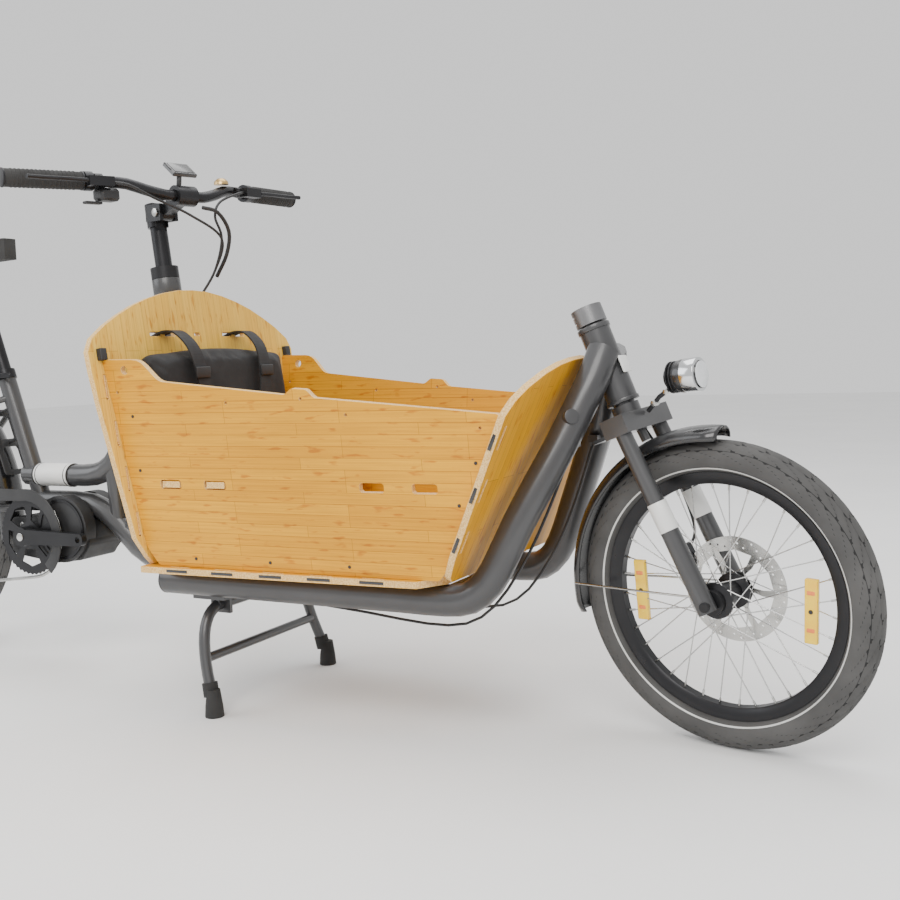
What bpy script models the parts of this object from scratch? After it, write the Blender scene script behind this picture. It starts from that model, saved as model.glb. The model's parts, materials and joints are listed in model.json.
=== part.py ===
"""Electric front-loader cargo bicycle with a plywood cargo box, in metres.

+X is forward, +Y is the rider's left, +Z is up, and the floor is z = 0. The origin lies on the floor
under the middle of the bicycle's length. The front wheel and the handlebar rest turned to the right.
"""
import math

import bmesh
import bpy
from mathutils import Matrix, Vector

# Driving dimensions
FRONT_HUB = Vector((1.04, 0.0, 0.2575))
REAR_HUB = Vector((-0.945, 0.0, 0.334))
CRANK_AXIS = Vector((-0.481, 0.0, 0.297))
FRONT_TYRE_RADIUS = 0.2575
REAR_TYRE_RADIUS = 0.334
TYRE_WIDTH = 0.056
STEER_ANGLE = math.radians(-12.85)      # resting turn of the fork and the handlebar, right is negative
FORK_RAKE = math.radians(21.74)         # head tube's lean back from vertical
FORK_OFFSET = 0.0404                    # hub's distance ahead of the steering axis
COLUMN_RAKE = math.radians(6.9)         # handlebar column's lean back from vertical
COLUMN_TOP = Vector((-0.1308, 0.0, 1.0059))
SEAT_RAKE = math.radians(18.35)
RAIL_RADIUS = 0.028
PLY = 0.012
FLOOR_TOP = 0.2907
GAP = 0.0003
GRIP_REACH = 0.344                      # grip end's distance from the bicycle's middle
CRANK_LENGTH = 0.170
DISC_RADIUS = 0.090
Y = Vector((0.0, 1.0, 0.0))

FORK_AXIS = Vector((-math.sin(FORK_RAKE), 0.0, math.cos(FORK_RAKE)))
FORK_FORWARD = Vector((math.cos(FORK_RAKE), 0.0, math.sin(FORK_RAKE)))
FORK_PIVOT = FRONT_HUB - FORK_FORWARD * FORK_OFFSET
COLUMN_AXIS = Vector((-math.sin(COLUMN_RAKE), 0.0, math.cos(COLUMN_RAKE)))

COLOURS = {
    "frame_paint": ((0.035, 0.036, 0.040), 0.45, 0.2),
    "bamboo": ((0.72, 0.42, 0.13), 0.5, 0.0),
    "black_plastic": ((0.02, 0.02, 0.022), 0.55, 0.0),
    "rubber": ((0.025, 0.024, 0.023), 0.8, 0.0),
    "alloy_black": ((0.03, 0.03, 0.033), 0.35, 0.7),
    "steel": ((0.55, 0.55, 0.54), 0.3, 1.0),
    "fabric": ((0.015, 0.015, 0.017), 0.9, 0.0),
    "lens": ((0.8, 0.8, 0.82), 0.1, 0.0),
    "red_lens": ((0.6, 0.02, 0.02), 0.2, 0.0),
    "brass": ((0.75, 0.5, 0.2), 0.3, 1.0),
}


# ---------------------------------------------------------------- tools
def clear_scene():
    for old in list(bpy.data.objects):
        bpy.data.objects.remove(old, do_unlink=True)


def new_collection(name):
    made = bpy.data.collections.new(name)
    bpy.context.scene.collection.children.link(made)
    return made


def finish_node(obj, look, parent=None):
    """Give the node its own material, its collection and its parent empty."""
    for group in list(obj.users_collection):
        group.objects.unlink(obj)
    PARTS.objects.link(obj)
    colour, rough, metal = COLOURS[look]
    material = bpy.data.materials.new(obj.name)
    material.use_nodes = True
    shader = material.node_tree.nodes["Principled BSDF"]
    shader.inputs["Base Color"].default_value = (*colour, 1.0)
    shader.inputs["Roughness"].default_value = rough
    shader.inputs["Metallic"].default_value = metal
    obj.data.materials.clear()
    obj.data.materials.append(material)
    if parent:
        obj.parent = parent
        obj.matrix_parent_inverse = Matrix.Translation(-parent.location)
    return obj


def hinge_at(obj, point):
    """Move the node's origin to a point on its joint's axis, before any parent's turn."""
    if obj.modifiers:
        obj = meshed(obj)
    inner = obj.matrix_basis.inverted() @ Vector(point)
    obj.data.transform(Matrix.Translation(-inner))
    obj.matrix_basis = obj.matrix_basis @ Matrix.Translation(inner)
    return obj


def pivot(name, point, axis, angle, parent=None):
    """An empty on a joint's axis, turned about it by the resting angle."""
    empty = bpy.data.objects.new(name, None)
    PARTS.objects.link(empty)
    empty.location = point
    empty.rotation_mode = "QUATERNION"
    empty.rotation_quaternion = Matrix.Rotation(angle, 3, axis).to_quaternion()
    if parent:
        empty.parent = parent
        empty.matrix_parent_inverse = Matrix.Translation(-parent.location)
    return empty


def between(start, end):
    """The matrix that lays local Z from start to end, with its origin halfway."""
    start, end = Vector(start), Vector(end)
    turn = (end - start).to_track_quat("Z", "Y").to_matrix().to_4x4()
    return Matrix.Translation((start + end) / 2) @ turn


def smooth_path(points, steps=4, closed=False):
    """A Catmull-Rom curve through the points."""
    given = [Vector(p) for p in points]
    count = len(given)
    out = []
    for i in range(count if closed else count - 1):
        p1, p2 = given[i], given[(i + 1) % count]
        p0 = given[(i - 1) % count] if closed or i else p1 * 2 - p2
        p3 = given[(i + 2) % count] if closed or i + 2 < count else p2 * 2 - p1
        for s in range(steps):
            t = s / steps
            out.append(0.5 * (2 * p1 + (p2 - p0) * t + (2 * p0 - 5 * p1 + 4 * p2 - p3) * t * t
                              + (3 * p1 - p0 - 3 * p2 + p3) * t ** 3))
    if not closed:
        out.append(given[-1])
    return out


def tube(name, points, radius, sides=12, closed=False, taper=None):
    curve = bpy.data.curves.new(name, "CURVE")
    curve.dimensions = "3D"
    curve.bevel_depth = radius
    curve.bevel_resolution = (sides - 4) // 2
    curve.use_fill_caps = True
    spline = curve.splines.new("POLY")
    spline.points.add(len(points) - 1)
    for i, point in enumerate(points):
        spline.points[i].co = (*point, 1.0)
        if taper:
            spline.points[i].radius = taper[0] + (taper[1] - taper[0]) * i / (len(points) - 1)
    spline.use_cyclic_u = closed
    obj = bpy.data.objects.new(name, curve)
    bpy.context.scene.collection.objects.link(obj)
    return obj


def meshed(obj):
    """The evaluated object as a welded mesh object."""
    graph = bpy.context.evaluated_depsgraph_get()
    mesh = bpy.data.meshes.new_from_object(obj.evaluated_get(graph))
    work = bmesh.new()
    work.from_mesh(mesh)
    bmesh.ops.remove_doubles(work, verts=work.verts, dist=1e-6)
    bmesh.ops.recalc_face_normals(work, faces=work.faces)
    work.to_mesh(mesh)
    work.free()
    made = bpy.data.objects.new(obj.name + "_mesh", mesh)
    bpy.context.scene.collection.objects.link(made)
    made.matrix_world = obj.matrix_world.copy()
    name = obj.name
    bpy.data.objects.remove(obj, do_unlink=True)
    made.name = name
    return made


def combine(target, others, operation="UNION"):
    """Apply Booleans of the others to the target, and remove the others."""
    if target.type != "MESH":
        target = meshed(target)
    for other in others:
        if other.type != "MESH":
            other = meshed(other)
        bpy.context.view_layer.update()
        change = target.modifiers.new("join", "BOOLEAN")
        change.operation = operation
        change.solver = "EXACT"
        change.object = other
        graph = bpy.context.evaluated_depsgraph_get()
        mesh = bpy.data.meshes.new_from_object(target.evaluated_get(graph))
        target.modifiers.clear()
        target.data = mesh
        bpy.data.objects.remove(other, do_unlink=True)
    return target


def block(name, size, centre, turn=None, soft=0.0):
    """A box with the given size, its rotation and its rounded edges."""
    bpy.ops.mesh.primitive_cube_add(size=1.0)
    obj = bpy.context.object
    obj.name = name
    obj.data.transform(Matrix.Diagonal((*size, 1.0)))
    obj.matrix_world = Matrix.Translation(centre) @ (turn.to_4x4() if turn else Matrix.Identity(4))
    if soft:
        edge = obj.modifiers.new("soft", "BEVEL")
        edge.width = soft
        edge.segments = 1
    return obj


def rod(name, start, end, radius, sides=20):
    length = (Vector(end) - Vector(start)).length
    bpy.ops.mesh.primitive_cylinder_add(vertices=sides, radius=radius, depth=length)
    obj = bpy.context.object
    obj.name = name
    obj.matrix_world = between(start, end)
    return obj


def turned(name, profile, place, steps=40, closed=True):
    """A Screw of the profile, given as (radius, height) down its outer side, about local Z."""
    mesh = bpy.data.meshes.new(name)
    count = len(profile)
    edges = [(i, (i + 1) % count) for i in range(count if closed else count - 1)]
    mesh.from_pydata([(r, 0.0, h) for r, h in profile], edges, [])
    obj = bpy.data.objects.new(name, mesh)
    bpy.context.scene.collection.objects.link(obj)
    screw = obj.modifiers.new("turn", "SCREW")
    screw.axis = "Z"
    screw.steps = steps
    screw.render_steps = steps
    screw.use_merge_vertices = True
    screw.merge_threshold = 1e-5
    obj.matrix_world = place
    return obj


def sleeve(name, start, end, inner, outer, sides=20):
    """A hollow cylinder between two points."""
    half = (Vector(end) - Vector(start)).length / 2
    profile = [(inner, half), (outer, half), (outer, -half), (inner, -half)]
    return turned(name, profile, between(start, end), sides)


def about_y(centre):
    return Matrix.Translation(centre) @ Matrix.Rotation(math.radians(90), 4, "X")


def rounded(points, radius, steps=4):
    """A 2D outline whose corners are arcs; radius is one number or one for each corner."""
    count = len(points)
    radii = radius if isinstance(radius, (list, tuple)) else [radius] * count
    out = []
    for i in range(count):
        corner = Vector(points[i])
        before = (Vector(points[i - 1]) - corner).normalized()
        after = (Vector(points[(i + 1) % count]) - corner).normalized()
        spread = before.angle(after, math.pi)
        if radii[i] <= 0 or spread > math.radians(178):
            out.append(tuple(corner))
            continue
        reach = radii[i] / math.tan(spread / 2)
        middle = corner + (before + after).normalized() * (radii[i] / math.sin(spread / 2))
        first = corner + before * reach - middle
        last = corner + after * reach - middle
        sweep = first.angle_signed(last)
        for s in range(steps + 1):
            turn = Matrix.Rotation(-sweep * s / steps, 2)
            out.append(tuple(middle + turn @ first))
    return out


def plate(name, outline, place, thickness, holes=()):
    """A flat outline in local X and Y, extruded along local Z from 0 down to minus the thickness."""
    curve = bpy.data.curves.new(name, "CURVE")
    curve.dimensions = "2D"
    curve.fill_mode = "BOTH"
    curve.extrude = thickness / 2
    for ring in (outline, *holes):
        spline = curve.splines.new("POLY")
        spline.points.add(len(ring) - 1)
        for point, (u, v) in zip(spline.points, ring):
            point.co = (u, v, 0.0, 1.0)
        spline.use_cyclic_u = True
    obj = bpy.data.objects.new(name, curve)
    bpy.context.scene.collection.objects.link(obj)
    obj.matrix_world = place @ Matrix.Translation((0.0, 0.0, -thickness / 2))
    return obj


def plane_matrix(origin, across, normal):
    """Local X along across, local Z along normal."""
    z = Vector(normal).normalized()
    x = (Vector(across) - z * Vector(across).dot(z)).normalized()
    y = z.cross(x)
    turn = Matrix((x, y, z)).transposed().to_4x4()
    return Matrix.Translation(origin) @ turn


def circle(centre, radius, count=16):
    return [(centre[0] + radius * math.cos(math.tau * i / count),
             centre[1] + radius * math.sin(math.tau * i / count)) for i in range(count)]


def slot_outline(centre, length, height, steps=1):
    u, v = centre
    corners = [(u - length / 2, v - height / 2), (u + length / 2, v - height / 2),
               (u + length / 2, v + height / 2), (u - length / 2, v + height / 2)]
    return rounded(corners, min(length, height) * 0.2, steps)


# ---------------------------------------------------------------- cargo box
def box_half_width(x, z):
    """Outer face of the side panels, which flare outwards upwards and rearwards."""
    return 0.2023 - 0.0521 * x + 0.1166 * z


def rear_face(z):
    """Front face of the rear panel."""
    return 0.021 - 0.1246 * (z - 0.32)


def front_face(z):
    """Rear face of the front panel."""
    return 0.638 + 0.46 * (z - 0.316)


SIDE_OUTLINE = [(0.0445, 0.2910), (0.0209, 0.325), (-0.0226, 0.674), (0.060, 0.672), (0.098, 0.632),
                (0.358, 0.604), (0.372, 0.6145), (0.401, 0.6125), (0.415, 0.598), (0.7525, 0.567),
                (0.6385, 0.318), (0.618, 0.2910)]
SIDE_ROUNDING = [0.012, 0.03, 0.006, 0.035, 0.03, 0.012, 0.010, 0.010, 0.012, 0.008, 0.02, 0.012]
BENCH_HEIGHT = 0.445
TAB = 0.0195                            # half the width of a bench tab
HAND_SLOTS = [(0.095, 0.445), (0.192, 0.445), (0.508, 0.446), (0.606, 0.446)]
RIM_HOLES = [(0.025, 0.654, 0.008), (0.003, 0.614, 0.003), (0.237, 0.592, 0.003),
             (0.389, 0.597, 0.003), (0.473, 0.569, 0.003), (0.712, 0.546, 0.003)]


def side_panel(name, side):
    """side is -1 for the right panel and 1 for the left one."""
    normal = Vector((0.0521, side, -0.1166)).normalized()
    origin = Vector((0.3, side * box_half_width(0.3, 0.3), 0.3))
    place = plane_matrix(origin, (1.0, 0.0, 0.0), normal)
    inverse = place.inverted()

    def local(x, z):
        point = inverse @ Vector((x, side * box_half_width(x, z), z))
        return point.x, point.y

    outline = rounded([local(x, z) for x, z in SIDE_OUTLINE], SIDE_ROUNDING, 3)
    holes = [slot_outline(local(x, z), 0.046, 0.017) for x, z in HAND_SLOTS]
    holes += [circle(local(x, z), r, 12 if r > 0.004 else 6) for x, z, r in RIM_HOLES]
    return finish_node(plate(name, outline, place, PLY, holes), "bamboo")


def mirrored_outline(half):
    """A closed outline from its right half, listed from the top middle down to the bottom middle."""
    return half + [(-u, v) for u, v in reversed(half) if abs(u) > 1e-6]


def rear_panel():
    normal = Vector((1.0, 0.0, 0.1246)).normalized()
    origin = Vector((rear_face(0.3) - GAP, 0.0, 0.3))
    place = plane_matrix(origin, (0.0, 1.0, 0.0), normal)
    lean = 1.0 / normal.x
    half = [(0.0, 0.812), (0.045, 0.810), (0.09, 0.803), (0.135, 0.792), (0.18, 0.777), (0.225, 0.757),
            (0.262, 0.738), (0.298, 0.714), (0.312, 0.690), (0.310, 0.655), (0.302, 0.590),
            (0.262, 0.345), (0.238, 0.306), (0.226, 0.2926)]
    outline = mirrored_outline([(u, (v - 0.3) * lean) for u, v in half])
    holes = []
    for y in (-0.130, -0.088, 0.088, 0.130):
        holes.append(slot_outline((y, (0.722 - 0.3) * lean), 0.030, 0.008))
    holes.append(slot_outline((-0.008, (0.722 - 0.3) * lean), 0.016, 0.006))
    for side in (-1, 1):
        for z in (0.37, 0.455, 0.54, 0.625):
            across = side * (box_half_width(0.0, z) + 0.0055)
            holes.append(slot_outline((across, (z - 0.3) * lean), 0.006, 0.046))
    return finish_node(plate("box_rear_panel", outline, place, PLY, holes), "bamboo")


def front_panel():
    normal = Vector((1.0, 0.0, -0.46)).normalized()
    origin = Vector((front_face(0.3) + GAP, 0.0, 0.3))
    place = plane_matrix(origin, (0.0, 1.0, 0.0), normal)
    lean = 1.0 / normal.x
    half = [(0.0, 0.655), (0.05, 0.652), (0.10, 0.645), (0.15, 0.632), (0.20, 0.612), (0.232, 0.592),
            (0.250, 0.568), (0.248, 0.545), (0.226, 0.335), (0.216, 0.305), (0.204, 0.2965)]
    outline = mirrored_outline([(u, (v - 0.3) * lean) for u, v in half])
    holes = []
    for side in (-1, 1):
        for z in (0.365, 0.450, 0.535):
            across = side * (box_half_width(front_face(z), z) + 0.0055)
            holes.append(slot_outline((across, (z - 0.3) * lean), 0.006, 0.042))
    made = plate("box_front_panel", outline, place @ Matrix.Translation((0, 0, PLY)), PLY, holes)
    return finish_node(made, "bamboo")


def floor_panel():
    half = [(0.612, 0.165), (0.580, 0.2175), (0.030, 0.2500), (0.012, 0.2500)]
    outline = half + [(x, -y) for x, y in reversed(half)]
    holes = []
    for side in (-1, 1):
        for x in (0.095, 0.194, 0.296, 0.394, 0.497):
            across = side * (box_half_width(x, FLOOR_TOP) + 0.0058)
            holes.append(slot_outline((x, across), 0.046, 0.006))
    place = Matrix.Translation((0.0, 0.0, FLOOR_TOP - GAP))
    return finish_node(plate("box_floor", outline, place, PLY, holes), "bamboo")


def bench():
    """A seat board with two tabs on each side that sit in the panels' slots."""
    front, back = 0.030, 0.250
    clearance = 0.004
    right = [(front, box_half_width(front, BENCH_HEIGHT) - PLY - clearance)]
    for middle in (0.095, 0.192):
        for x, inset in ((middle - TAB, PLY + clearance), (middle - TAB, 0.001),
                         (middle + TAB, 0.001), (middle + TAB, PLY + clearance)):
            right.append((x, box_half_width(x, BENCH_HEIGHT) - inset))
    right.append((back, box_half_width(back, BENCH_HEIGHT) - PLY - clearance))
    outline = right + [(x, -y) for x, y in reversed(right)]
    place = Matrix.Translation((0.0, 0.0, BENCH_HEIGHT + 0.006))
    return finish_node(plate("bench_board", outline, place, PLY, ()), "bamboo")


def cushion(name, size, centre, turn=None):
    obj = block(name, size, centre, turn)
    edge = obj.modifiers.new("soft", "BEVEL")
    edge.width = min(size) * 0.4
    edge.segments = 2
    return finish_node(obj, "fabric")


def cargo_box():
    side_panel("box_side_right", -1)
    side_panel("box_side_left", 1)
    rear_panel()
    front_panel()
    floor_panel()
    bench()
    cushion("seat_cushion", (0.180, 0.400, 0.040), (0.150, 0.0, BENCH_HEIGHT + 0.0275))
    lean = Matrix.Rotation(-math.atan(0.1246), 3, "Y")
    cushion("back_cushion", (0.044, 0.440, 0.205), (0.0165, 0.0, 0.6065), lean)


# ---------------------------------------------------------------- frame
def head_line(z):
    """A point on the front steering axis at height z."""
    return FORK_PIVOT + FORK_AXIS * ((z - FORK_PIVOT.z) / FORK_AXIS.z)


def column_line(z):
    return COLUMN_TOP + COLUMN_AXIS * ((z - COLUMN_TOP.z) / COLUMN_AXIS.z)


def rail_path(side):
    given = [(0.002, 0.165, 0.250), (0.15, 0.165, 0.250), (0.35, 0.165, 0.250), (0.52, 0.163, 0.250),
             (0.60, 0.160, 0.249), (0.648, 0.156, 0.2560), (0.682, 0.150, 0.284), (0.706, 0.143, 0.328),
             (0.731, 0.129, 0.385), (0.760, 0.108, 0.446), (0.788, 0.084, 0.506), (0.813, 0.060, 0.566),
             (0.835, 0.038, 0.622), (0.843, 0.016, 0.660)]
    return smooth_path([(x, side * y, z) for x, y, z in given], 2)


def frame_front():
    """Twin rails under the box that rise and meet at the front head tube."""
    right = tube("frame_front", rail_path(-1), RAIL_RADIUS, 12)
    left = tube("rail_left", rail_path(1), RAIL_RADIUS, 12)
    head = rod("head", head_line(0.572), head_line(0.702), 0.0265, 24)
    ties = [rod("tie_rear", (0.030, -0.17, 0.247), (0.030, 0.17, 0.247), 0.021, 14),
            rod("tie_middle", (0.335, -0.17, 0.247), (0.335, 0.17, 0.247), 0.016, 12),
            rod("tie_front", (0.585, -0.162, 0.248), (0.585, 0.162, 0.248), 0.016, 12),
            rod("tie_stand", (0.140, -0.158, 0.251), (0.140, 0.158, 0.251), 0.012, 12)]
    for side in (-1, 1):
        ties.append(block("stand_bracket", (0.075, 0.052, 0.018), (0.085, side * 0.124, 0.2205)))
        ties.append(block("cable_stop", (0.018, 0.026, 0.012), (0.799, side * 0.054, 0.508)))
        ties.append(block("stand_ear", (0.046, 0.008, 0.040), (0.085, side * 0.112, 0.199)))
    made = combine(right, [left, head, *ties])
    bores = [rod("bore", head_line(0.50), head_line(0.78), 0.0195, 20),
             rod("stand_pivot", (0.085, -0.118, 0.197), (0.085, 0.118, 0.197), 0.0122, 16)]
    made = combine(made, bores, "DIFFERENCE")
    return finish_node(made, "frame_paint")


def seat_line(z):
    return Vector((CRANK_AXIS.x - math.tan(SEAT_RAKE) * (z - CRANK_AXIS.z), 0.0, z))


def frame_rear():
    """Column head tube, top tube, down tube, seat tube, motor cradle and the stays."""
    top = smooth_path([(-0.545, 0, 0.425), (-0.42, 0, 0.425), (-0.34, 0, 0.428), (-0.285, 0, 0.452),
                       (-0.235, 0, 0.520), (-0.180, 0, 0.615), (-0.110, 0, 0.735)], 2)
    down = smooth_path([(-0.575, 0, 0.3655), (-0.46, 0, 0.3655), (-0.35, 0, 0.362), (-0.285, 0, 0.330),
                        (-0.225, 0, 0.276), (-0.165, 0, 0.2495), (-0.09, 0, 0.247), (0.0081, 0, 0.247)], 2)
    body = tube("frame_rear", top, 0.0245, 12)
    others = [tube("down", down, 0.0245, 12),
              rod("column_head", column_line(0.445), column_line(0.838), 0.0265, 24),
              rod("strut", (-0.262, 0, 0.300), (-0.072, 0, 0.475), 0.017, 12),
              rod("gusset", (-0.275, 0, 0.335), (-0.285, 0, 0.455), 0.020, 12),
              rod("seat_tube", seat_line(0.352), seat_line(0.640), 0.0195, 20)]
    for side in (-1, 1):
        stay = smooth_path([(-0.556, side * 0.014, 0.352), (-0.584, side * 0.045, 0.350),
                            (-0.66, side * 0.053, 0.348), (-0.80, side * 0.068, 0.343),
                            (-0.925, side * 0.0790, 0.337)], 2)
        upper = [seat_line(0.600) + Vector((0, side * 0.010, 0)), Vector((-0.64, side * 0.048, 0.572)),
                 Vector((-0.80, side * 0.072, 0.452)), Vector((-0.935, side * 0.0775, 0.348))]
        others.append(tube("chainstay", stay, 0.0095, 10))
        others.append(tube("seatstay", smooth_path(upper, 2), 0.0075, 10))
        others.append(block("dropout", (0.050, 0.007, 0.050), (-0.940, side * 0.0775, 0.336)))
        others.append(rod("arm", (-0.125, side * 0.004, 0.2475), (0.014, side * 0.112, 0.2475), 0.0175, 14))
    made = combine(body, others)
    tie = rod("tie_clearance", (0.030, -0.14, 0.247), (0.030, 0.14, 0.247), 0.0214, 14)
    bores = [rod("column_bore", column_line(0.40), column_line(0.90), 0.0185, 20),
             rod("seat_bore", seat_line(0.440), seat_line(0.70), 0.0162, 20), tie]
    made = combine(made, bores, "DIFFERENCE")
    return finish_node(made, "frame_paint")


def motor():
    core = plate("motor_casing", rounded([(-0.555, 0.250), (-0.420, 0.236), (-0.345, 0.246), (-0.316, 0.285),
                                          (-0.352, 0.334), (-0.555, 0.334)], 0.015, 3),
                 plane_matrix((0, -0.048, 0), (1, 0, 0), (0, -1, 0)), 0.096)
    cheeks = [rod("bearing", CRANK_AXIS - Y * 0.0570, CRANK_AXIS + Y * 0.0570, 0.0270, 24)]
    for side in (-1, 1):
        cheeks.append(rod("cheek", (-0.392, side * 0.0285, 0.313), (-0.392, side * 0.0575, 0.313), 0.0735, 28))
    return finish_node(combine(core, cheeks), "black_plastic")


def chain_circles():
    return [((REAR_HUB.x, REAR_HUB.z), 0.0345, 1), ((CRANK_AXIS.x, CRANK_AXIS.z), 0.0932, 1),
            ((-0.905, 0.170), 0.0215, 1), ((-0.932, 0.252), 0.0215, -1)]


def belt(circles, step=math.radians(12)):
    """A taut loop round the circles, each (centre, radius, 1 if it turns clockwise or -1)."""
    lines = []
    for i, (c1, r1, s1) in enumerate(circles):
        c2, r2, s2 = circles[(i + 1) % len(circles)]
        dx, dz = c2[0] - c1[0], c2[1] - c1[1]
        angle = math.atan2(dz, dx) - math.asin((s1 * r1 - s2 * r2) / math.hypot(dx, dz))
        side = (-math.sin(angle), math.cos(angle))
        lines.append((math.atan2(s1 * side[1], s1 * side[0]), math.atan2(s2 * side[1], s2 * side[0])))
    out = []
    for i, (centre, radius, sense) in enumerate(circles):
        arrive = lines[i - 1][1]
        leave = lines[i][0]
        sweep = (arrive - leave) % math.tau if sense > 0 else (leave - arrive) % math.tau
        count = max(2, int(sweep / step) + 1)
        for k in range(count + 1):
            a = arrive - sense * sweep * k / count
            out.append((centre[0] + radius * math.cos(a), centre[1] + radius * math.sin(a)))
    return out


def drive():
    motor()
    chain_y = -0.0645
    path = [(x, chain_y, z) for x, z in belt(chain_circles())]
    finish_node(tube("chain", path, 0.0036, 4, closed=True), "steel")
    guard_outline = []
    for i in range(15):
        a = math.radians(-50 + 150 * i / 14)
        guard_outline.append((CRANK_AXIS.x + 0.104 * math.cos(a), CRANK_AXIS.z + 0.104 * math.sin(a)))
    guard_outline += [(-0.62, 0.4005), (-0.86, 0.392), (-0.86, 0.372), (-0.62, 0.372)]
    for i in range(15):
        a = math.radians(100 - 150 * i / 14)
        guard_outline.append((CRANK_AXIS.x + 0.078 * math.cos(a), CRANK_AXIS.z + 0.078 * math.sin(a)))
    place = plane_matrix((0, -0.0745, 0), (1, 0, 0), (0, -1, 0))
    finish_node(plate("chain_guard", guard_outline, place, 0.003), "black_plastic")
    cage = block("derailleur", (0.016, 0.004, 0.105), (-0.919, -0.0725, 0.211),
                 Matrix.Rotation(math.radians(-18), 3, "Y"))
    arm = rod("arm", (-0.932, -0.0755, 0.252), (-0.942, -0.0775, 0.3088), 0.006, 10)
    finish_node(combine(cage, [arm]), "alloy_black")


def rear_rack():
    """Two decks on legs, tied at the front to the seat stays."""
    top = [(-0.715, 0.060), (-1.135, 0.060), (-1.135, -0.060), (-0.715, -0.060)]
    ring = [(x, y, 0.800) for x, y in rounded(top, 0.03, 3)]
    deck = tube("rear_rack", ring, 0.006, 8, closed=True)
    parts = []
    for x in (-0.80, -0.93, -1.06):
        parts.append(rod("bar", (x, -0.060, 0.800), (x, 0.060, 0.800), 0.0045, 8))
    parts.append(block("lower_deck", (0.400, 0.100, 0.006), (-0.925, 0.0, 0.7035)))
    for side in (-1, 1):
        for x in (-0.74, -1.11):
            parts.append(rod("post", (x, side * 0.047, 0.702), (x, side * 0.060, 0.800), 0.005, 8))
        parts.append(rod("leg", (-0.960, side * 0.0885, 0.350), (-1.02, side * 0.048, 0.7035), 0.006, 8))
        parts.append(rod("leg_foot", (-0.960, side * 0.0815, 0.350), (-0.960, side * 0.0935, 0.350), 0.010, 10))
        parts.append(rod("front_tie", (-0.745, side * 0.044, 0.7035), (-0.619, side * 0.012, 0.628), 0.005, 8))
    parts.append(block("fender_mount", (0.024, 0.034, 0.012), (-0.945, 0.0, 0.6977)))
    made = combine(deck, parts)
    return finish_node(made, "alloy_black")


def seat_tube_plate():
    """The plate with two windows on stand-offs behind the seat tube."""
    low, high = Vector((-0.576, 0.0, 0.425)), Vector((-0.628, 0.0, 0.572))
    place = plane_matrix(low, Y, Y.cross(high - low))
    length = (high - low).length
    outer = rounded([(-0.036, 0.0), (0.036, 0.0), (0.036, length), (-0.036, length)], 0.008, 2)
    windows = []
    for start in (0.012, 0.085):
        end = start + 0.055
        windows.append(rounded([(-0.020, start), (0.020, start), (0.020, end), (-0.020, end)], 0.006, 2))
    forward = Vector((math.cos(SEAT_RAKE), 0.0, math.sin(SEAT_RAKE)))
    pins = []
    for z in (0.513, 0.581):
        pins.append(rod("pin", seat_line(z) - forward * 0.0200, seat_line(z) - forward * 0.0540, 0.0040, 8))
    made = combine(meshed(plate("seat_tube_plate", outer, place, 0.004, windows)), pins)
    return finish_node(made, "black_plastic")


def fender(name, hub, radius, start, end, width):
    """A curved mudguard with rolled edges, from angle start to angle end in degrees."""
    profile = [(-width / 2, -0.012), (-width / 2 + 0.004, 0.0), (-width / 4, 0.007), (0.0, 0.010),
               (width / 4, 0.007), (width / 2 - 0.004, 0.0), (width / 2, -0.012)]
    steps = max(8, int(abs(end - start) / 9))
    mesh = bpy.data.meshes.new(name)
    work = bmesh.new()
    rows = []
    for i in range(steps + 1):
        a = math.radians(start + (end - start) * i / steps)
        out = Vector((math.cos(a), 0.0, math.sin(a)))
        rows.append([work.verts.new(hub + out * (radius + h) + Y * w) for w, h in profile])
    for first, second in zip(rows, rows[1:]):
        for k in range(len(profile) - 1):
            work.faces.new((first[k], first[k + 1], second[k + 1], second[k]))
    bmesh.ops.recalc_face_normals(work, faces=work.faces)
    work.to_mesh(mesh)
    work.free()
    obj = bpy.data.objects.new(name, mesh)
    bpy.context.scene.collection.objects.link(obj)
    wall = obj.modifiers.new("wall", "SOLIDIFY")
    wall.thickness = 0.0022
    wall.offset = 0.0
    wall.use_even_offset = False
    return obj


def frame_fittings():
    finish_node(fender("rear_fender", REAR_HUB, 0.346, -12, 158, 0.066), "black_plastic")
    finish_node(block("rear_light", (0.022, 0.080, 0.024), (-1.153, 0.0, 0.8005), None, 0.004), "red_lens")
    for name, side in (("steering_cable_right", -1), ("steering_cable_left", 1)):
        route = [(-0.048, side * 0.033, 0.400), (-0.041, side * 0.052, 0.375), (-0.046, side * 0.076, 0.325),
                 (-0.053, side * 0.092, 0.275), (-0.051, side * 0.099, 0.235), (-0.035, side * 0.104, 0.212),
                 (0.00, side * 0.103, 0.2085), (0.035, side * 0.097, 0.2140), (0.085, side * 0.088, 0.2165),
                 (0.15, side * 0.086, 0.213), (0.26, side * 0.083, 0.206), (0.40, side * 0.080, 0.195),
                 (0.52, side * 0.078, 0.184), (0.60, side * 0.077, 0.190), (0.655, side * 0.075, 0.225),
                 (0.703, side * 0.072, 0.290), (0.738, side * 0.067, 0.355), (0.768, side * 0.060, 0.425),
                 (0.794, side * 0.051, 0.494)]
        finish_node(tube(name, smooth_path(route, 2), 0.0028, 6), "black_plastic")
    caliper = block("rear_brake_caliper", (0.038, 0.020, 0.030), (-0.868, 0.0575, 0.377),
                    Matrix.Rotation(math.radians(25), 3, "Y"), 0.003)
    slit = turned("slit", [(0.0, 0.0018), (0.094, 0.0018), (0.094, -0.0018), (0.0, -0.0018)],
                  about_y(REAR_HUB + Y * 0.0545), 40, closed=False)
    finish_node(combine(meshed(caliper), [slit], "DIFFERENCE"), "alloy_black")


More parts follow.
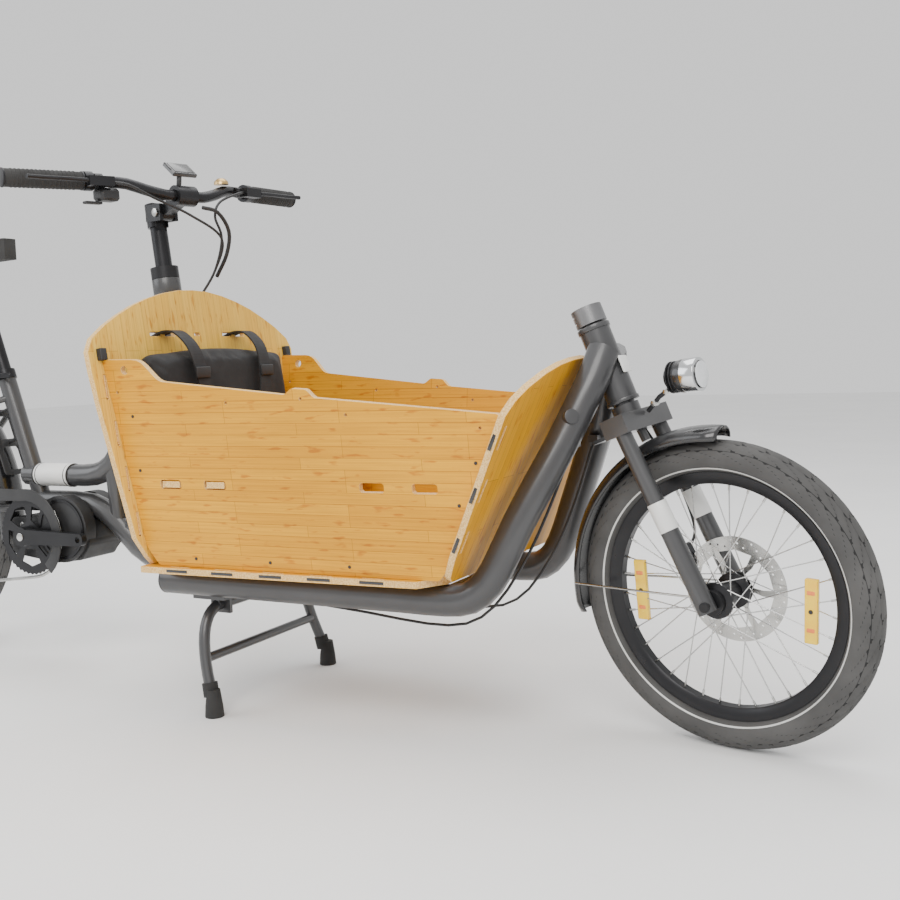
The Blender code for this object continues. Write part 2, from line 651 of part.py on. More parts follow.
# ---------------------------------------------------------------- seat
def seat_parts():
    clamp = sleeve("seat_clamp", seat_line(0.6405), seat_line(0.6600), 0.0165, 0.0225, 20)
    finish_node(clamp, "alloy_black")
    post_low, post_top = seat_line(0.500), seat_line(0.905)
    finish_node(rod("seatpost", post_low, post_top, 0.0155, 20), "alloy_black")
    lever_pivot = seat_line(0.650) + Vector((0.0, -0.0275, 0.0))
    lever = block("seat_clamp_lever", (0.052, 0.006, 0.012), lever_pivot + Vector((0.022, -0.002, 0.0)), None, 0.002)
    finish_node(hinge_at(lever, lever_pivot), "alloy_black")
    half = [(0.130, 0.0), (0.128, 0.016), (0.06, 0.028), (-0.02, 0.045), (-0.08, 0.073), (-0.125, 0.078),
            (-0.140, 0.045), (-0.136, 0.0)]
    outline = half + [(x, -y) for x, y in reversed(half[1:-1])]
    centre = seat_line(0.930)
    seat = plate("saddle", outline, Matrix.Translation((centre.x + 0.005, 0.0, 0.956)), 0.046)
    base = rod("saddle_clamp", seat_line(0.9055), seat_line(0.925), 0.018, 16)
    finish_node(combine(meshed(seat), [base]), "rubber")


# ---------------------------------------------------------------- handlebar
BAR_CENTRE = Vector((-0.0308, 0.0, 0.998))
STEM_PIVOT = Vector((-0.098, 0.0, 0.972))
DISPLAY_HINGE = BAR_CENTRE + Vector((-0.006, 0.0, 0.038))
LAMP_HINGE = Vector((0.965, 0.0, 0.596))


BAR_INNER = Vector((BAR_CENTRE.x - 0.030, 0.148, 1.019))       # where the bar's straight outer run starts
DROP = Vector((0.0, 0.0, -0.003))        # the lever bodies sit this far below the bar's middle
BAR_OUTER = Vector((BAR_CENTRE.x - 0.070, 0.340, 1.019))


def bar_point(side, reach):
    """A point on the straight outer part of the bar, at a distance from the middle."""
    share = (reach - BAR_INNER.y) / (BAR_OUTER.y - BAR_INNER.y)
    point = BAR_INNER.lerp(BAR_OUTER, share)
    return Vector((point.x, side * point.y, point.z))


def bar_half(side):
    x, z = BAR_CENTRE.x, BAR_CENTRE.z
    return [(x, side * 0.030, z), (x, side * 0.048, z), (x - 0.008, side * 0.083, z + 0.008),
            (x - 0.021, side * 0.118, z + 0.019), tuple(bar_point(side, 0.148)), tuple(bar_point(side, 0.160)),
            tuple(bar_point(side, 0.340))]


def handlebar(column_pivot, bar_parent):
    """The steering column and everything that turns with it."""
    mast = rod("steering_mast", column_line(0.385), column_line(0.960), 0.0172, 20)
    groove = [(0.0, 0.010), (0.034, 0.010), (0.034, 0.0065), (0.028, 0.003), (0.028, -0.003),
              (0.034, -0.0065), (0.034, -0.010), (0.0, -0.010)]
    pulley = turned("pulley", groove, between(column_line(0.390), column_line(0.412)), 28, closed=False)
    collar = rod("collar", column_line(0.8385), column_line(0.862), 0.0285, 24)
    base = rod("base", column_line(0.944), column_line(0.992), 0.0215, 20)
    web = block("ear_web", (0.024, 0.040, 0.030), (-0.124, 0.0, 0.971))
    ears = [block("ear", (0.044, 0.007, 0.034), (-0.106, side * 0.0185, 0.972)) for side in (-1, 1)]
    made = combine(mast, [pulley, collar, base, web, *ears])
    room = block("arm_room", (0.064, 0.0296, 0.070), STEM_PIVOT + Vector((0.013, 0.0, 0.0)))
    made = combine(made, [room], "DIFFERENCE")
    finish_node(made, "alloy_black", column_pivot)

    arm = rod("stem_arm", (STEM_PIVOT.x, -0.0140, STEM_PIVOT.z), (STEM_PIVOT.x, 0.0140, STEM_PIVOT.z), 0.0165, 20)
    reach = block("reach", (0.052, 0.024, 0.022), (STEM_PIVOT + BAR_CENTRE) / 2,
                  Matrix.Rotation(-math.atan2(BAR_CENTRE.z - STEM_PIVOT.z, BAR_CENTRE.x - STEM_PIVOT.x), 3, "Y"))
    ring = rod("ring", BAR_CENTRE - Y * 0.023, BAR_CENTRE + Y * 0.023, 0.0205, 20)
    hole = rod("hole", BAR_CENTRE - Y * 0.05, BAR_CENTRE + Y * 0.05, 0.0121, 20)
    made = combine(combine(arm, [reach, ring]), [hole], "DIFFERENCE")
    finish_node(hinge_at(made, STEM_PIVOT), "alloy_black", bar_parent)

    route = list(reversed(bar_half(-1))) + bar_half(1)
    finish_node(tube("handlebar", smooth_path(route, 2), 0.0113, 12), "alloy_black", bar_parent)
    for name, side in (("right", -1), ("left", 1)):
        grip = sleeve("grip_" + name, bar_point(side, 0.2005), bar_point(side, GRIP_REACH), 0.0122, 0.0170, 20)
        finish_node(grip, "rubber", bar_parent)
        clamp = sleeve("brake_body_" + name, bar_point(side, 0.1835), bar_point(side, 0.1985), 0.0122, 0.0185, 16)
        at = bar_point(side, 0.191)
        along = (bar_point(side, 0.3) - at).normalized()
        ahead = Vector((side * along.y, -side * along.x, 0.0))
        turn = Matrix.Rotation(side * math.atan2(-along.x, side * along.y), 3, "Z")
        barrel = block("barrel", (0.020, 0.048, 0.018), at + ahead * 0.0268 - along * 0.015 + DROP, turn)
        finish_node(combine(meshed(clamp), [barrel]), "alloy_black", bar_parent)
        hinge = at + ahead * 0.0330 + along * 0.0114 + DROP
        blade = [hinge + ahead * u + along * v for u, v in ((0.0, 0.0), (0.006, 0.03), (0.010, 0.085), (0.017, 0.118))]
        lever = tube("brake_lever_" + name, smooth_path(blade, 3), 0.0042, 8)
        finish_node(hinge_at(lever, hinge), "alloy_black", bar_parent)
    at = bar_point(-1, 0.172)
    pod = sleeve("shifter_pod", bar_point(-1, 0.164), bar_point(-1, 0.180), 0.0122, 0.0155, 16)
    bulb = block("bulb", (0.034, 0.042, 0.024), at + Vector((0.008, 0.012, -0.0255)), None, 0.005)
    finish_node(combine(meshed(pod), [meshed(bulb)]), "black_plastic", bar_parent)
    thumb = block("shift_lever", (0.014, 0.036, 0.005), at + Vector((0.006, -0.018, -0.0415)), None, 0.0015)
    finish_node(hinge_at(thumb, at + Vector((0.006, -0.004, -0.0415))), "black_plastic", bar_parent)
    bell_at = Vector((BAR_CENTRE.x - 0.019, 0.112, 1.0150))
    dome = turned("bell", [(0.0, 0.013), (0.008, 0.012), (0.0145, 0.006), (0.0155, 0.0), (0.0, 0.0)],
                  Matrix.Translation(bell_at + Vector((0.0, 0.0, 0.0155))), 16, closed=False)
    finish_node(dome, "brass", bar_parent)
    screen = block("display", (0.009, 0.058, 0.042), BAR_CENTRE + Vector((-0.006, 0.0, 0.052)),
                   Matrix.Rotation(math.radians(-52), 3, "Y"), 0.002)
    finish_node(hinge_at(screen, DISPLAY_HINGE), "black_plastic", bar_parent)
    cables = [Vector((BAR_CENTRE.x + 0.020, 0.028, 0.975)), Vector((BAR_CENTRE.x + 0.028, 0.060, 0.966)),
              Vector((BAR_CENTRE.x + 0.020, 0.092, 0.930)), Vector((-0.030, 0.098, 0.885)), Vector((-0.058, 0.090, 0.840))]
    finish_node(tube("control_cables", smooth_path(cables, 4), 0.0040, 8), "black_plastic", column_pivot)


# ---------------------------------------------------------------- fork and wheels
def fork(parent):
    crown = rod("fork", head_line(0.5255), head_line(0.5685), 0.0240, 20)
    parts = [block("crown_bar", (0.046, 0.150, 0.032), head_line(0.538) + FORK_FORWARD * 0.010,
                   Matrix.Rotation(-FORK_RAKE, 3, "Y")),
             rod("steerer", head_line(0.545), head_line(0.7045), 0.0185, 20)]
    crown_at = head_line(0.538) + FORK_FORWARD * 0.010
    down = (FRONT_HUB - crown_at).normalized()
    parts.append(rod("fender_mount", crown_at, FRONT_HUB - down * 0.2830, 0.008, 12))
    for side in (-1, 1):
        top = head_line(0.540) + FORK_FORWARD * 0.012 + Y * side * 0.0596
        end = FRONT_HUB + Y * side * 0.0596 + Vector((0.0, 0.0, -0.012))
        parts.append(tube("leg", [top, top.lerp(end, 0.45), end], 0.0165, 14, taper=(0.82, 1.0)))
    base = plane_matrix(head_line(0.533) - FORK_FORWARD * 0.010, (1, 0, 0), FORK_AXIS)
    parts.append(plate("horn", rounded([(-0.052, -0.050), (0.012, -0.034), (0.012, 0.034), (-0.052, 0.050)], 0.01, 2),
                       base, 0.006))
    made = combine(crown, parts)
    trims = [rod("axle_room", FRONT_HUB - Y * 0.080, FRONT_HUB + Y * 0.080, 0.0055, 12),
             rod("hub_room", FRONT_HUB - Y * 0.0515, FRONT_HUB + Y * 0.0515, 0.024, 20)]
    finish_node(combine(made, trims, "DIFFERENCE"), "frame_paint", parent)

    top = rod("steerer_collar", head_line(0.7050), head_line(0.7330), 0.0268, 24)
    back = head_line(0.719) - FORK_FORWARD * 0.024
    cuts = [block("slot", (0.020, 0.060, 0.0035), back + FORK_AXIS * h, Matrix.Rotation(-FORK_RAKE, 3, "Y"))
            for h in (-0.006, 0.006)]
    finish_node(combine(top, cuts, "DIFFERENCE"), "alloy_black", parent)
    guard = meshed(fender("front_fender", FRONT_HUB, 0.2705, 88, 192, 0.066))
    stays = []
    for side in (-1, 1):
        stays.append(tube("stay", [(0.9735, side * 0.0405, 0.372), (0.776, side * 0.0330, 0.300)], 0.0022, 8))
    finish_node(combine(guard, stays), "black_plastic", parent)
    caliper = block("front_brake_caliper", (0.030, 0.022, 0.040), FRONT_HUB + Vector((-0.088, 0.0430, 0.047)),
                    Matrix.Rotation(math.radians(-30), 3, "Y"), 0.003)
    slit = turned("slit", [(0.0, 0.0018), (0.094, 0.0018), (0.094, -0.0018), (0.0, -0.0018)],
                  about_y(FRONT_HUB + Y * 0.0405), 40, closed=False)
    finish_node(combine(meshed(caliper), [slit], "DIFFERENCE"), "alloy_black", parent)
    at = head_line(0.545) + FORK_FORWARD * 0.0375
    arm = tube("lamp_bracket", [at, at + Vector((0.022, 0, 0.024)), at + Vector((0.040, 0, 0.036))], 0.0040, 8)
    finish_node(arm, "alloy_black", parent)


def headlight(parent):
    centre = Vector((0.983, 0.0, 0.6165))
    profile = [(0.0, 0.033), (0.022, 0.033), (0.0265, 0.024), (0.0275, 0.0), (0.0240, -0.012), (0.016, -0.027),
               (0.0, -0.031)]
    place = Matrix.Translation(centre) @ Matrix.Rotation(math.radians(84), 4, "Y")
    lamp = turned("headlight", profile, place, 24, closed=False)
    finish_node(hinge_at(lamp, LAMP_HINGE), "lens", parent)


def wheel(prefix, hub, tyre_radius, bead, hub_half, parent, disc_y):
    """Tyre, rim, hub and brake disc, all turned about the hub's axle."""
    half = TYRE_WIDTH / 2
    mid = tyre_radius - half
    angles = (-38, -8, 22, 50, 74, 90, 106, 130, 158, 188, 218)
    section = [(mid + half * math.sin(math.radians(a)), half * math.cos(math.radians(a))) for a in angles]
    section = [(bead + 0.0045, 0.012), *section, (bead + 0.0045, -0.012)]
    finish_node(turned(prefix + "_tyre", section, about_y(hub), 36), "rubber", parent)
    rim = [(bead - 0.016, 0.009), (bead - 0.004, 0.0135), (bead + 0.0040, 0.0145), (bead + 0.0040, -0.0145),
           (bead - 0.004, -0.0135), (bead - 0.016, -0.009)]
    finish_node(turned(prefix + "_rim", rim, about_y(hub), 36), "alloy_black", parent)
    flange = 0.029
    h = hub_half
    spool = [(0.0, h), (0.010, h), (0.010, 0.040), (flange, 0.036), (flange, 0.031), (0.015, 0.026), (0.015, -0.026),
             (flange, -0.031), (flange, -0.036), (0.010, -0.040), (0.010, -h), (0.0, -h)]
    if prefix == "front":
        spool = [(0.0, 0.051), (0.0205, 0.051), (0.0205, 0.0380), (0.030, 0.034), (0.030, 0.029), (0.020, 0.024),
                 (0.020, -0.024), (0.030, -0.029), (0.030, -0.034), (0.0205, -0.038), (0.0205, -0.051), (0.0, -0.051)]
    finish_node(turned(prefix + "_hub", spool, about_y(hub), 24, closed=False), "alloy_black", parent)
    windows = []
    for i in range(6):
        ring = []
        for a, r in ((6, 0.040), (6, 0.070), (30, 0.072), (54, 0.070), (54, 0.040), (30, 0.038)):
            t = math.radians(a + 60 * i)
            ring.append((r * math.cos(t), r * math.sin(t)))
        windows.append(ring)
    place = plane_matrix(hub + Y * (disc_y + 0.001), (1, 0, 0), (0, 1, 0))
    bore = circle((0, 0), 0.0212 if prefix == "front" else 0.0110, 16)
    finish_node(plate(prefix + "_brake_disc", circle((0, 0), DISC_RADIUS, 40), place, 0.002, [bore, *windows]),
                "steel", parent)


def crank_arm(way, y):
    """A crank arm that points forward (way 1) or rearward (way -1), with its near face at y."""
    corners = []
    for reach, rise in ((-0.018, -0.017), (0.184, -0.012), (0.184, 0.014), (-0.018, 0.017)):
        corners.append((CRANK_AXIS.x + way * reach, CRANK_AXIS.z + way * rise))
    eye = circle((CRANK_AXIS.x + way * CRANK_LENGTH, CRANK_AXIS.z + way * 0.001), 0.0065, 14)
    place = plane_matrix((0, y, 0), (1, 0, 0), (0, -1, 0))
    return plate("arm", rounded(corners, 0.010, 3), place, 0.013, [eye])


def rear_drive():
    """Cassette, chainring with the right crank, and the left crank."""
    profile = [(0.0105, 0.0650), (0.0300, 0.0650), (0.0300, 0.0590), (0.038, 0.0555), (0.044, 0.0515),
               (0.050, 0.0475), (0.056, 0.0435), (0.056, 0.0415), (0.0105, 0.0415)]
    place = Matrix.Translation(REAR_HUB) @ Matrix.Rotation(math.radians(90), 4, "X")
    finish_node(turned("cassette", profile, place, 36), "steel")

    teeth = 44
    outline = []
    for i in range(teeth):
        for share, radius in ((0.0, 0.0880), (0.5, 0.0845)):
            a = math.tau * (i + share) / teeth
            outline.append((CRANK_AXIS.x + radius * math.cos(a), CRANK_AXIS.z + radius * math.sin(a)))
    holes = []
    for i in range(5):
        ring = []
        for a, r in ((10, 0.034), (10, 0.066), (36, 0.070), (62, 0.066), (62, 0.034)):
            t = math.radians(a + 72 * i + 18)
            ring.append((CRANK_AXIS.x + r * math.cos(t), CRANK_AXIS.z + r * math.sin(t)))
        holes.append(ring)
    place = plane_matrix((0, -0.0660, 0), (1, 0, 0), (0, -1, 0))
    ring = plate("crankset", outline, place, 0.003, holes)
    boss = rod("boss", CRANK_AXIS - Y * 0.0575, CRANK_AXIS - Y * 0.0915, 0.0215, 20)
    right_arm = crank_arm(1, -0.0920)
    finish_node(hinge_at(combine(meshed(ring), [boss, right_arm]), CRANK_AXIS), "alloy_black")
    left_boss = rod("crank_left", CRANK_AXIS + Y * 0.0575, CRANK_AXIS + Y * 0.0905, 0.0215, 20)
    finish_node(hinge_at(combine(left_boss, [crank_arm(-1, 0.0780)]), CRANK_AXIS), "alloy_black")


def kickstand():
    """A bent centre stand with rubber feet on its pivot tube."""
    hinge = Vector((0.085, 0.0, 0.197))
    shaft = rod("kickstand", hinge - Y * 0.130, hinge + Y * 0.130, 0.0118, 16)
    parts = []
    for side in (-1, 1):
        route = smooth_path([(0.085, side * 0.124, 0.197), (0.084, side * 0.150, 0.181), (0.086, side * 0.168, 0.148),
                             (0.096, side * 0.180, 0.095), (0.116, side * 0.190, 0.034)], 3)
        parts.append(tube("leg", route, 0.0110, 12))
        foot = turned("foot_" + ("right" if side < 0 else "left"),
                      [(0.0, 0.018), (0.0125, 0.018), (0.0165, -0.012), (0.0180, -0.0335), (0.0, -0.0335)],
                      Matrix.Translation((0.1205, side * 0.1915, 0.0335)), 20, closed=False)
        foot = combine(meshed(foot), [rod("socket", (0.113, side * 0.1885, 0.0365),
                                          (0.108, side * 0.1865, 0.062), 0.0148, 16)])
        hollow = tube("hollow", [(0.0965, side * 0.1803, 0.0935), (0.1163, side * 0.1901, 0.0331)], 0.0120, 12)
        foot = combine(foot, [hollow], "DIFFERENCE")
        finish_node(hinge_at(foot, hinge), "rubber")
    parts.append(rod("cross", (0.094, -0.179, 0.104), (0.094, 0.179, 0.104), 0.0090, 12))
    finish_node(hinge_at(combine(shaft, parts), hinge), "frame_paint")


def battery():
    shell = block("battery", (0.330, 0.080, 0.072), (-0.915, 0.0, 0.7500), None, 0.010)
    finish_node(shell, "black_plastic")


# ---------------------------------------------------------------- build
clear_scene()
PARTS = new_collection("cargo_bicycle")
FORK = pivot("fork_pivot", FORK_PIVOT, FORK_AXIS, STEER_ANGLE)
COLUMN = pivot("column_pivot", COLUMN_TOP, COLUMN_AXIS, STEER_ANGLE)
cargo_box()
frame_front()
frame_rear()
drive()
rear_rack()
seat_tube_plate()
frame_fittings()
seat_parts()
BAR = pivot("bar_pivot", STEM_PIVOT, Y, 0.0, COLUMN)
handlebar(COLUMN, BAR)
fork(FORK)
headlight(FORK)
wheel("front", FRONT_HUB, FRONT_TYRE_RADIUS, 0.203, 0.051, FORK, 0.0405)
wheel("rear", REAR_HUB, REAR_TYRE_RADIUS, 0.2795, 0.0735, None, 0.0545)
rear_drive()
kickstand()
battery()
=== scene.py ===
"""Looks for the cargo bicycle: materials, tyres, cushions, small fittings, lights and camera."""
import json
import math

import bmesh
import bpy
from mathutils import Matrix, Vector


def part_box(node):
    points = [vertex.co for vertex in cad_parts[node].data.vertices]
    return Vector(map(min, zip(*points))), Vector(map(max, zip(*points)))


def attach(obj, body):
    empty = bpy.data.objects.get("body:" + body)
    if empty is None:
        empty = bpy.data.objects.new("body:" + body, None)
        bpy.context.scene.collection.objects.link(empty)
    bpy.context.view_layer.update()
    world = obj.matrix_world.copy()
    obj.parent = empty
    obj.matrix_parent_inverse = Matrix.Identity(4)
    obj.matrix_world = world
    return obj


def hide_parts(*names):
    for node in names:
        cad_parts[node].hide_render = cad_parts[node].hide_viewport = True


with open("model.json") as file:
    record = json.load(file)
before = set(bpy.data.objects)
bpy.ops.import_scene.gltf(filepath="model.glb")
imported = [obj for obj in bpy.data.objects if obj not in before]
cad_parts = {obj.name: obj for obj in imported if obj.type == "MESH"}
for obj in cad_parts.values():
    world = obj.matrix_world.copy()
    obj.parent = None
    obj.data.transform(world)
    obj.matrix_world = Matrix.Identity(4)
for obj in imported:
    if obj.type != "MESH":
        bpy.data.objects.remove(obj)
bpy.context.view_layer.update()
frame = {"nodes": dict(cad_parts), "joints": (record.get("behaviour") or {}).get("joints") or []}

# Sizes in metres, as in the CAD
FRONT_HUB = Vector((1.04, 0.0, 0.2575))
REAR_HUB = Vector((-0.945, 0.0, 0.334))
FRONT_TYRE = (0.2575, 0.203)            # outer radius, bead radius
REAR_TYRE = (0.334, 0.2795)
TYRE_WIDTH = 0.056
STEER = math.radians(-12.85)            # how far the bar and the fork are turned at rest
HEAD_RAKE = math.radians(21.74)         # how far the fork's steering axis leans back
LAMP_AIM = math.radians(84)             # from straight up towards the front
BOX_HALF = 0.2023                       # half width of the box at x = 0, z = 0
BOX_TAPER = 0.0521                      # what each side loses per metre forward
BOX_FLARE = 0.1166                      # what each side gains per metre up
REAR_SLOPE = 0.1246                     # how far the rear panel leans back per metre up
FRONT_SLOPE = 0.46                      # how far the front panel leans forward per metre up
FLOOR_TAPER = 0.0591                    # what each side of the floor loses per metre forward
RIB_PITCH = 0.0075                      # spacing of the ribs on a grip
JOCKEY_Y = -0.0645                      # the plane of the chain
CRANK = Vector((-0.481, 0.0, 0.297))    # the crank's axle
DISPLAY_TILT = math.radians(-52)
SPOKES = 36
BAMBOO_STRIP = 0.0062
TREAD_STEPS = 400                       # divisions round a tyre
TREAD_EDGE = 17                         # rows of the tyre's profile from its middle to the tread's edge
TREAD_GROOVES = (4, 11)                 # rows of the two grooves that run round each side
CUSHION_PRESSURE = 4.0
CUSHION_STEPS = 20                      # frames of cloth simulation
CAMERA_PLACE = (1.477, -1.798, 0.659)
CAMERA_ANGLES = (27.562, -4.776, -1.908)    # yaw, pitch and roll in degrees, fitted to the photo
CAMERA_LENS = 44.595                    # mm on a sensor 36 mm wide
SIDES = ((-1, "right"), (1, "left"))
Y = Vector((0.0, 1.0, 0.0))


def turned_about(joint_name):
    """The matrix that turns straight-ahead pieces to the resting angle of a steering joint."""
    joint = next(j for j in frame["joints"] if j["name"] == joint_name)
    point = Vector(joint["pos_m"])
    turn = Matrix.Rotation(STEER, 4, Vector(joint["axis"]))
    return Matrix.Translation(point) @ turn @ Matrix.Translation(-point)


FORK_TURN = turned_about("fork_steer")
BAR_TURN = turned_about("column_steer")
STRAIGHT = Matrix.Identity(4)


# ---------------------------------------------------------------- materials
class Look:
    """A Principled material with short calls for its texture nodes."""

    def __init__(self, name, colour, rough, metal=0.0):
        self.material = bpy.data.materials.new(name)
        self.material.use_nodes = True
        self.nodes = self.material.node_tree.nodes
        self.links = self.material.node_tree.links
        self.shader = self.nodes["Principled BSDF"]
        self.shader.inputs["Base Color"].default_value = (*colour, 1.0)
        self.shader.inputs["Roughness"].default_value = rough
        self.shader.inputs["Metallic"].default_value = metal
        self.place = self.nodes.new("ShaderNodeTexCoord").outputs["Object"]

    def noise(self, scale, vector=None, detail=4.0, rough=0.55):
        node = self.nodes.new("ShaderNodeTexNoise")
        node.inputs["Scale"].default_value = scale
        node.inputs["Detail"].default_value = detail
        node.inputs["Roughness"].default_value = rough
        self.links.new(vector or self.place, node.inputs["Vector"])
        return node.outputs["Fac"]

    def ramp(self, value, stops):
        node = self.nodes.new("ShaderNodeValToRGB")
        while len(node.color_ramp.elements) < len(stops):
            node.color_ramp.elements.new(0.5)
        for element, (where, colour) in zip(node.color_ramp.elements, stops):
            element.position = where
            element.color = (*colour, 1.0)
        self.links.new(value, node.inputs["Fac"])
        return node.outputs["Color"]

    def scaled(self, value, low, high, from_low=0.3, from_high=0.7):
        node = self.nodes.new("ShaderNodeMapRange")
        node.inputs["From Min"].default_value = from_low
        node.inputs["From Max"].default_value = from_high
        node.inputs["To Min"].default_value = low
        node.inputs["To Max"].default_value = high
        self.links.new(value, node.inputs["Value"])
        return node.outputs["Result"]

    def mix(self, share, first, second, blend="MIX"):
        node = self.nodes.new("ShaderNodeMix")
        node.data_type = "RGBA"
        node.blend_type = blend
        colours = [i for i in node.inputs if i.type == "RGBA"]
        factor = node.inputs[0]
        for socket, given in ((factor, share), (colours[0], first), (colours[1], second)):
            if isinstance(given, bpy.types.NodeSocket):
                self.links.new(given, socket)
            elif isinstance(given, (int, float)):
                socket.default_value = given
            else:
                socket.default_value = (*given, 1.0)
        return [o for o in node.outputs if o.type == "RGBA"][0]

    def colour(self, output):
        self.links.new(output, self.shader.inputs["Base Color"])
        return self

    def roughness(self, output):
        self.links.new(output, self.shader.inputs["Roughness"])
        return self

    def bump(self, height, strength, distance=0.001):
        node = self.nodes.new("ShaderNodeBump")
        node.inputs["Strength"].default_value = strength
        node.inputs["Distance"].default_value = distance
        self.links.new(height, node.inputs["Height"])
        self.links.new(node.outputs["Normal"], self.shader.inputs["Normal"])
        return self


def speckled(name, dark, light, rough, metal=0.0, scale=60.0, bump=0.15, coat=0.0):
    """Paint, plastic, rubber or metal with soft mottling, uneven gloss and a fine surface."""
    look = Look(name, dark, rough, metal)
    look.colour(look.ramp(look.noise(scale * 0.12, detail=6.0), [(0.3, dark), (0.72, light)]))
    look.roughness(look.scaled(look.noise(scale * 0.35), max(0.03, rough - 0.08), min(1.0, rough + 0.10)))
    look.bump(look.noise(scale * 9.0), bump, 0.0003)
    if coat:
        look.shader.inputs["Coat Weight"].default_value = coat
        look.shader.inputs["Coat Roughness"].default_value = 0.2
    return look.material


def bamboo(name, along, across, normal, tones):
    """Bamboo plywood: strips with darker joints, stretched grain, node marks and plies on cut edges."""
    look = Look(name, tones[1], 0.42)
    parts = look.nodes.new("ShaderNodeSeparateXYZ")
    look.links.new(look.place, parts.inputs[0])
    join = look.nodes.new("ShaderNodeCombineXYZ")
    look.links.new(parts.outputs[along], join.inputs["X"])
    look.links.new(parts.outputs[across], join.inputs["Y"])
    flat = join.outputs[0]
    brick = look.nodes.new("ShaderNodeTexBrick")
    brick.offset = 0.37
    brick.offset_frequency = 3
    brick.inputs["Scale"].default_value = 1.0
    brick.inputs["Brick Width"].default_value = 0.23
    brick.inputs["Row Height"].default_value = BAMBOO_STRIP * 3.2
    brick.inputs["Mortar Size"].default_value = 0.0005
    brick.inputs["Mortar Smooth"].default_value = 0.6
    brick.inputs["Bias"].default_value = -0.1
    brick.inputs["Color1"].default_value = (*tones[0], 1.0)
    brick.inputs["Color2"].default_value = (*tones[1], 1.0)
    brick.inputs["Mortar"].default_value = (*tones[2], 1.0)
    look.links.new(flat, brick.inputs["Vector"])
    stretch = look.nodes.new("ShaderNodeMapping")
    stretch.inputs["Scale"].default_value = (5.0, 260.0, 1.0)
    look.links.new(flat, stretch.inputs["Vector"])
    fibres = look.noise(1.0, stretch.outputs["Vector"], 5.0, 0.65)
    grain = look.ramp(fibres, [(0.30, (0.74, 0.68, 0.60)), (0.62, (1.0, 1.0, 1.0))])
    cloud = look.ramp(look.noise(3.2, flat, 3.0), [(0.32, (0.80, 0.77, 0.72)), (0.70, (1.0, 1.0, 1.0))])
    face = look.mix(0.75, look.mix(0.85, brick.outputs["Color"], grain, "MULTIPLY"), cloud, "MULTIPLY")
    spots = look.nodes.new("ShaderNodeMapping")
    spots.inputs["Scale"].default_value = (26.0, 105.0, 1.0)
    look.links.new(flat, spots.inputs["Vector"])
    marks = look.noise(1.0, spots.outputs["Vector"], 2.0, 0.45)
    knots = look.ramp(marks, [(0.60, (1.0, 1.0, 1.0)), (0.70, (0.76, 0.58, 0.38))])
    face = look.mix(1.0, face, knots, "MULTIPLY")
    shape = look.nodes.new("ShaderNodeNewGeometry")
    facing = look.nodes.new("ShaderNodeSeparateXYZ")
    look.links.new(shape.outputs["True Normal"], facing.inputs[0])
    size = look.nodes.new("ShaderNodeMath")
    size.operation = "ABSOLUTE"
    look.links.new(facing.outputs[normal], size.inputs[0])
    edge = look.scaled(size.outputs[0], 1.0, 0.0, 0.62, 0.74)
    plies = look.ramp(look.noise(420.0, detail=1.0), [(0.35, (0.62, 0.36, 0.11)), (0.65, (0.84, 0.58, 0.25))])
    look.colour(look.mix(edge, face, plies))
    look.roughness(look.scaled(fibres, 0.34, 0.55))
    look.bump(fibres, 0.12, 0.0006)
    look.shader.inputs["Specular IOR Level"].default_value = 0.25
    return look.material


def woven(name, dark, light, pitch=0.0011, sheen=0.3):
    """Coated cloth with a fine crossed weave."""
    look = Look(name, dark, 0.72)
    waves = []
    for axis in ("X", "Y", "Z"):
        wave = look.nodes.new("ShaderNodeTexWave")
        wave.bands_direction = axis
        wave.inputs["Scale"].default_value = 0.16 / pitch
        wave.inputs["Distortion"].default_value = 0.4
        look.links.new(look.place, wave.inputs["Vector"])
        waves.append(wave.outputs["Fac"])
    first = look.nodes.new("ShaderNodeMath")
    first.operation = "MULTIPLY"
    look.links.new(waves[0], first.inputs[0])
    look.links.new(waves[1], first.inputs[1])
    total = look.nodes.new("ShaderNodeMath")
    total.operation = "ADD"
    look.links.new(first.outputs[0], total.inputs[0])
    look.links.new(waves[2], total.inputs[1])
    look.colour(look.ramp(look.noise(14.0, detail=6.0), [(0.3, dark), (0.75, light)]))
    look.roughness(look.scaled(look.noise(30.0), 0.6, 0.85))
    look.bump(total.outputs[0], 0.35, 0.0004)
    look.shader.inputs["Sheen Weight"].default_value = sheen
    return look.material


FRAME_PAINT = speckled("frame_paint", (0.042, 0.042, 0.044), (0.060, 0.060, 0.062), 0.36, 0.3, 40.0,
                       0.08, 0.5)
PLASTIC = speckled("black_plastic", (0.014, 0.014, 0.015), (0.026, 0.026, 0.027), 0.5, 0.0, 70.0, 0.35)
GLOSS = speckled("gloss_black", (0.010, 0.010, 0.011), (0.018, 0.018, 0.019), 0.22, 0.0, 30.0, 0.03, 0.5)
RUBBER = speckled("tyre_rubber", (0.050, 0.049, 0.048), (0.085, 0.083, 0.081), 0.74, 0.0, 90.0, 0.5)
# Darker rubber laid on the tread grooves: painted shade, not a different rubber.
GROOVE_SHADE = speckled("groove_painted_shade", (0.012, 0.012, 0.012), (0.020, 0.020, 0.020), 0.9, 0.0, 90.0, 0.5)
SATIN = speckled("satin_alloy", (0.16, 0.16, 0.165), (0.26, 0.26, 0.265), 0.34, 0.8, 50.0, 0.06)
GRIP_RUBBER = speckled("grip_rubber", (0.016, 0.016, 0.016), (0.030, 0.029, 0.028), 0.8, 0.0, 110.0, 0.6)
ALLOY = speckled("black_alloy", (0.020, 0.020, 0.022), (0.034, 0.034, 0.036), 0.34, 0.7, 50.0, 0.06)
STEEL = speckled("ground_steel", (0.42, 0.42, 0.41), (0.62, 0.62, 0.60), 0.26, 1.0, 80.0, 0.12)
SPOKE_STEEL = speckled("spoke_steel", (0.50, 0.50, 0.50), (0.66, 0.66, 0.65), 0.24, 1.0, 90.0, 0.05)
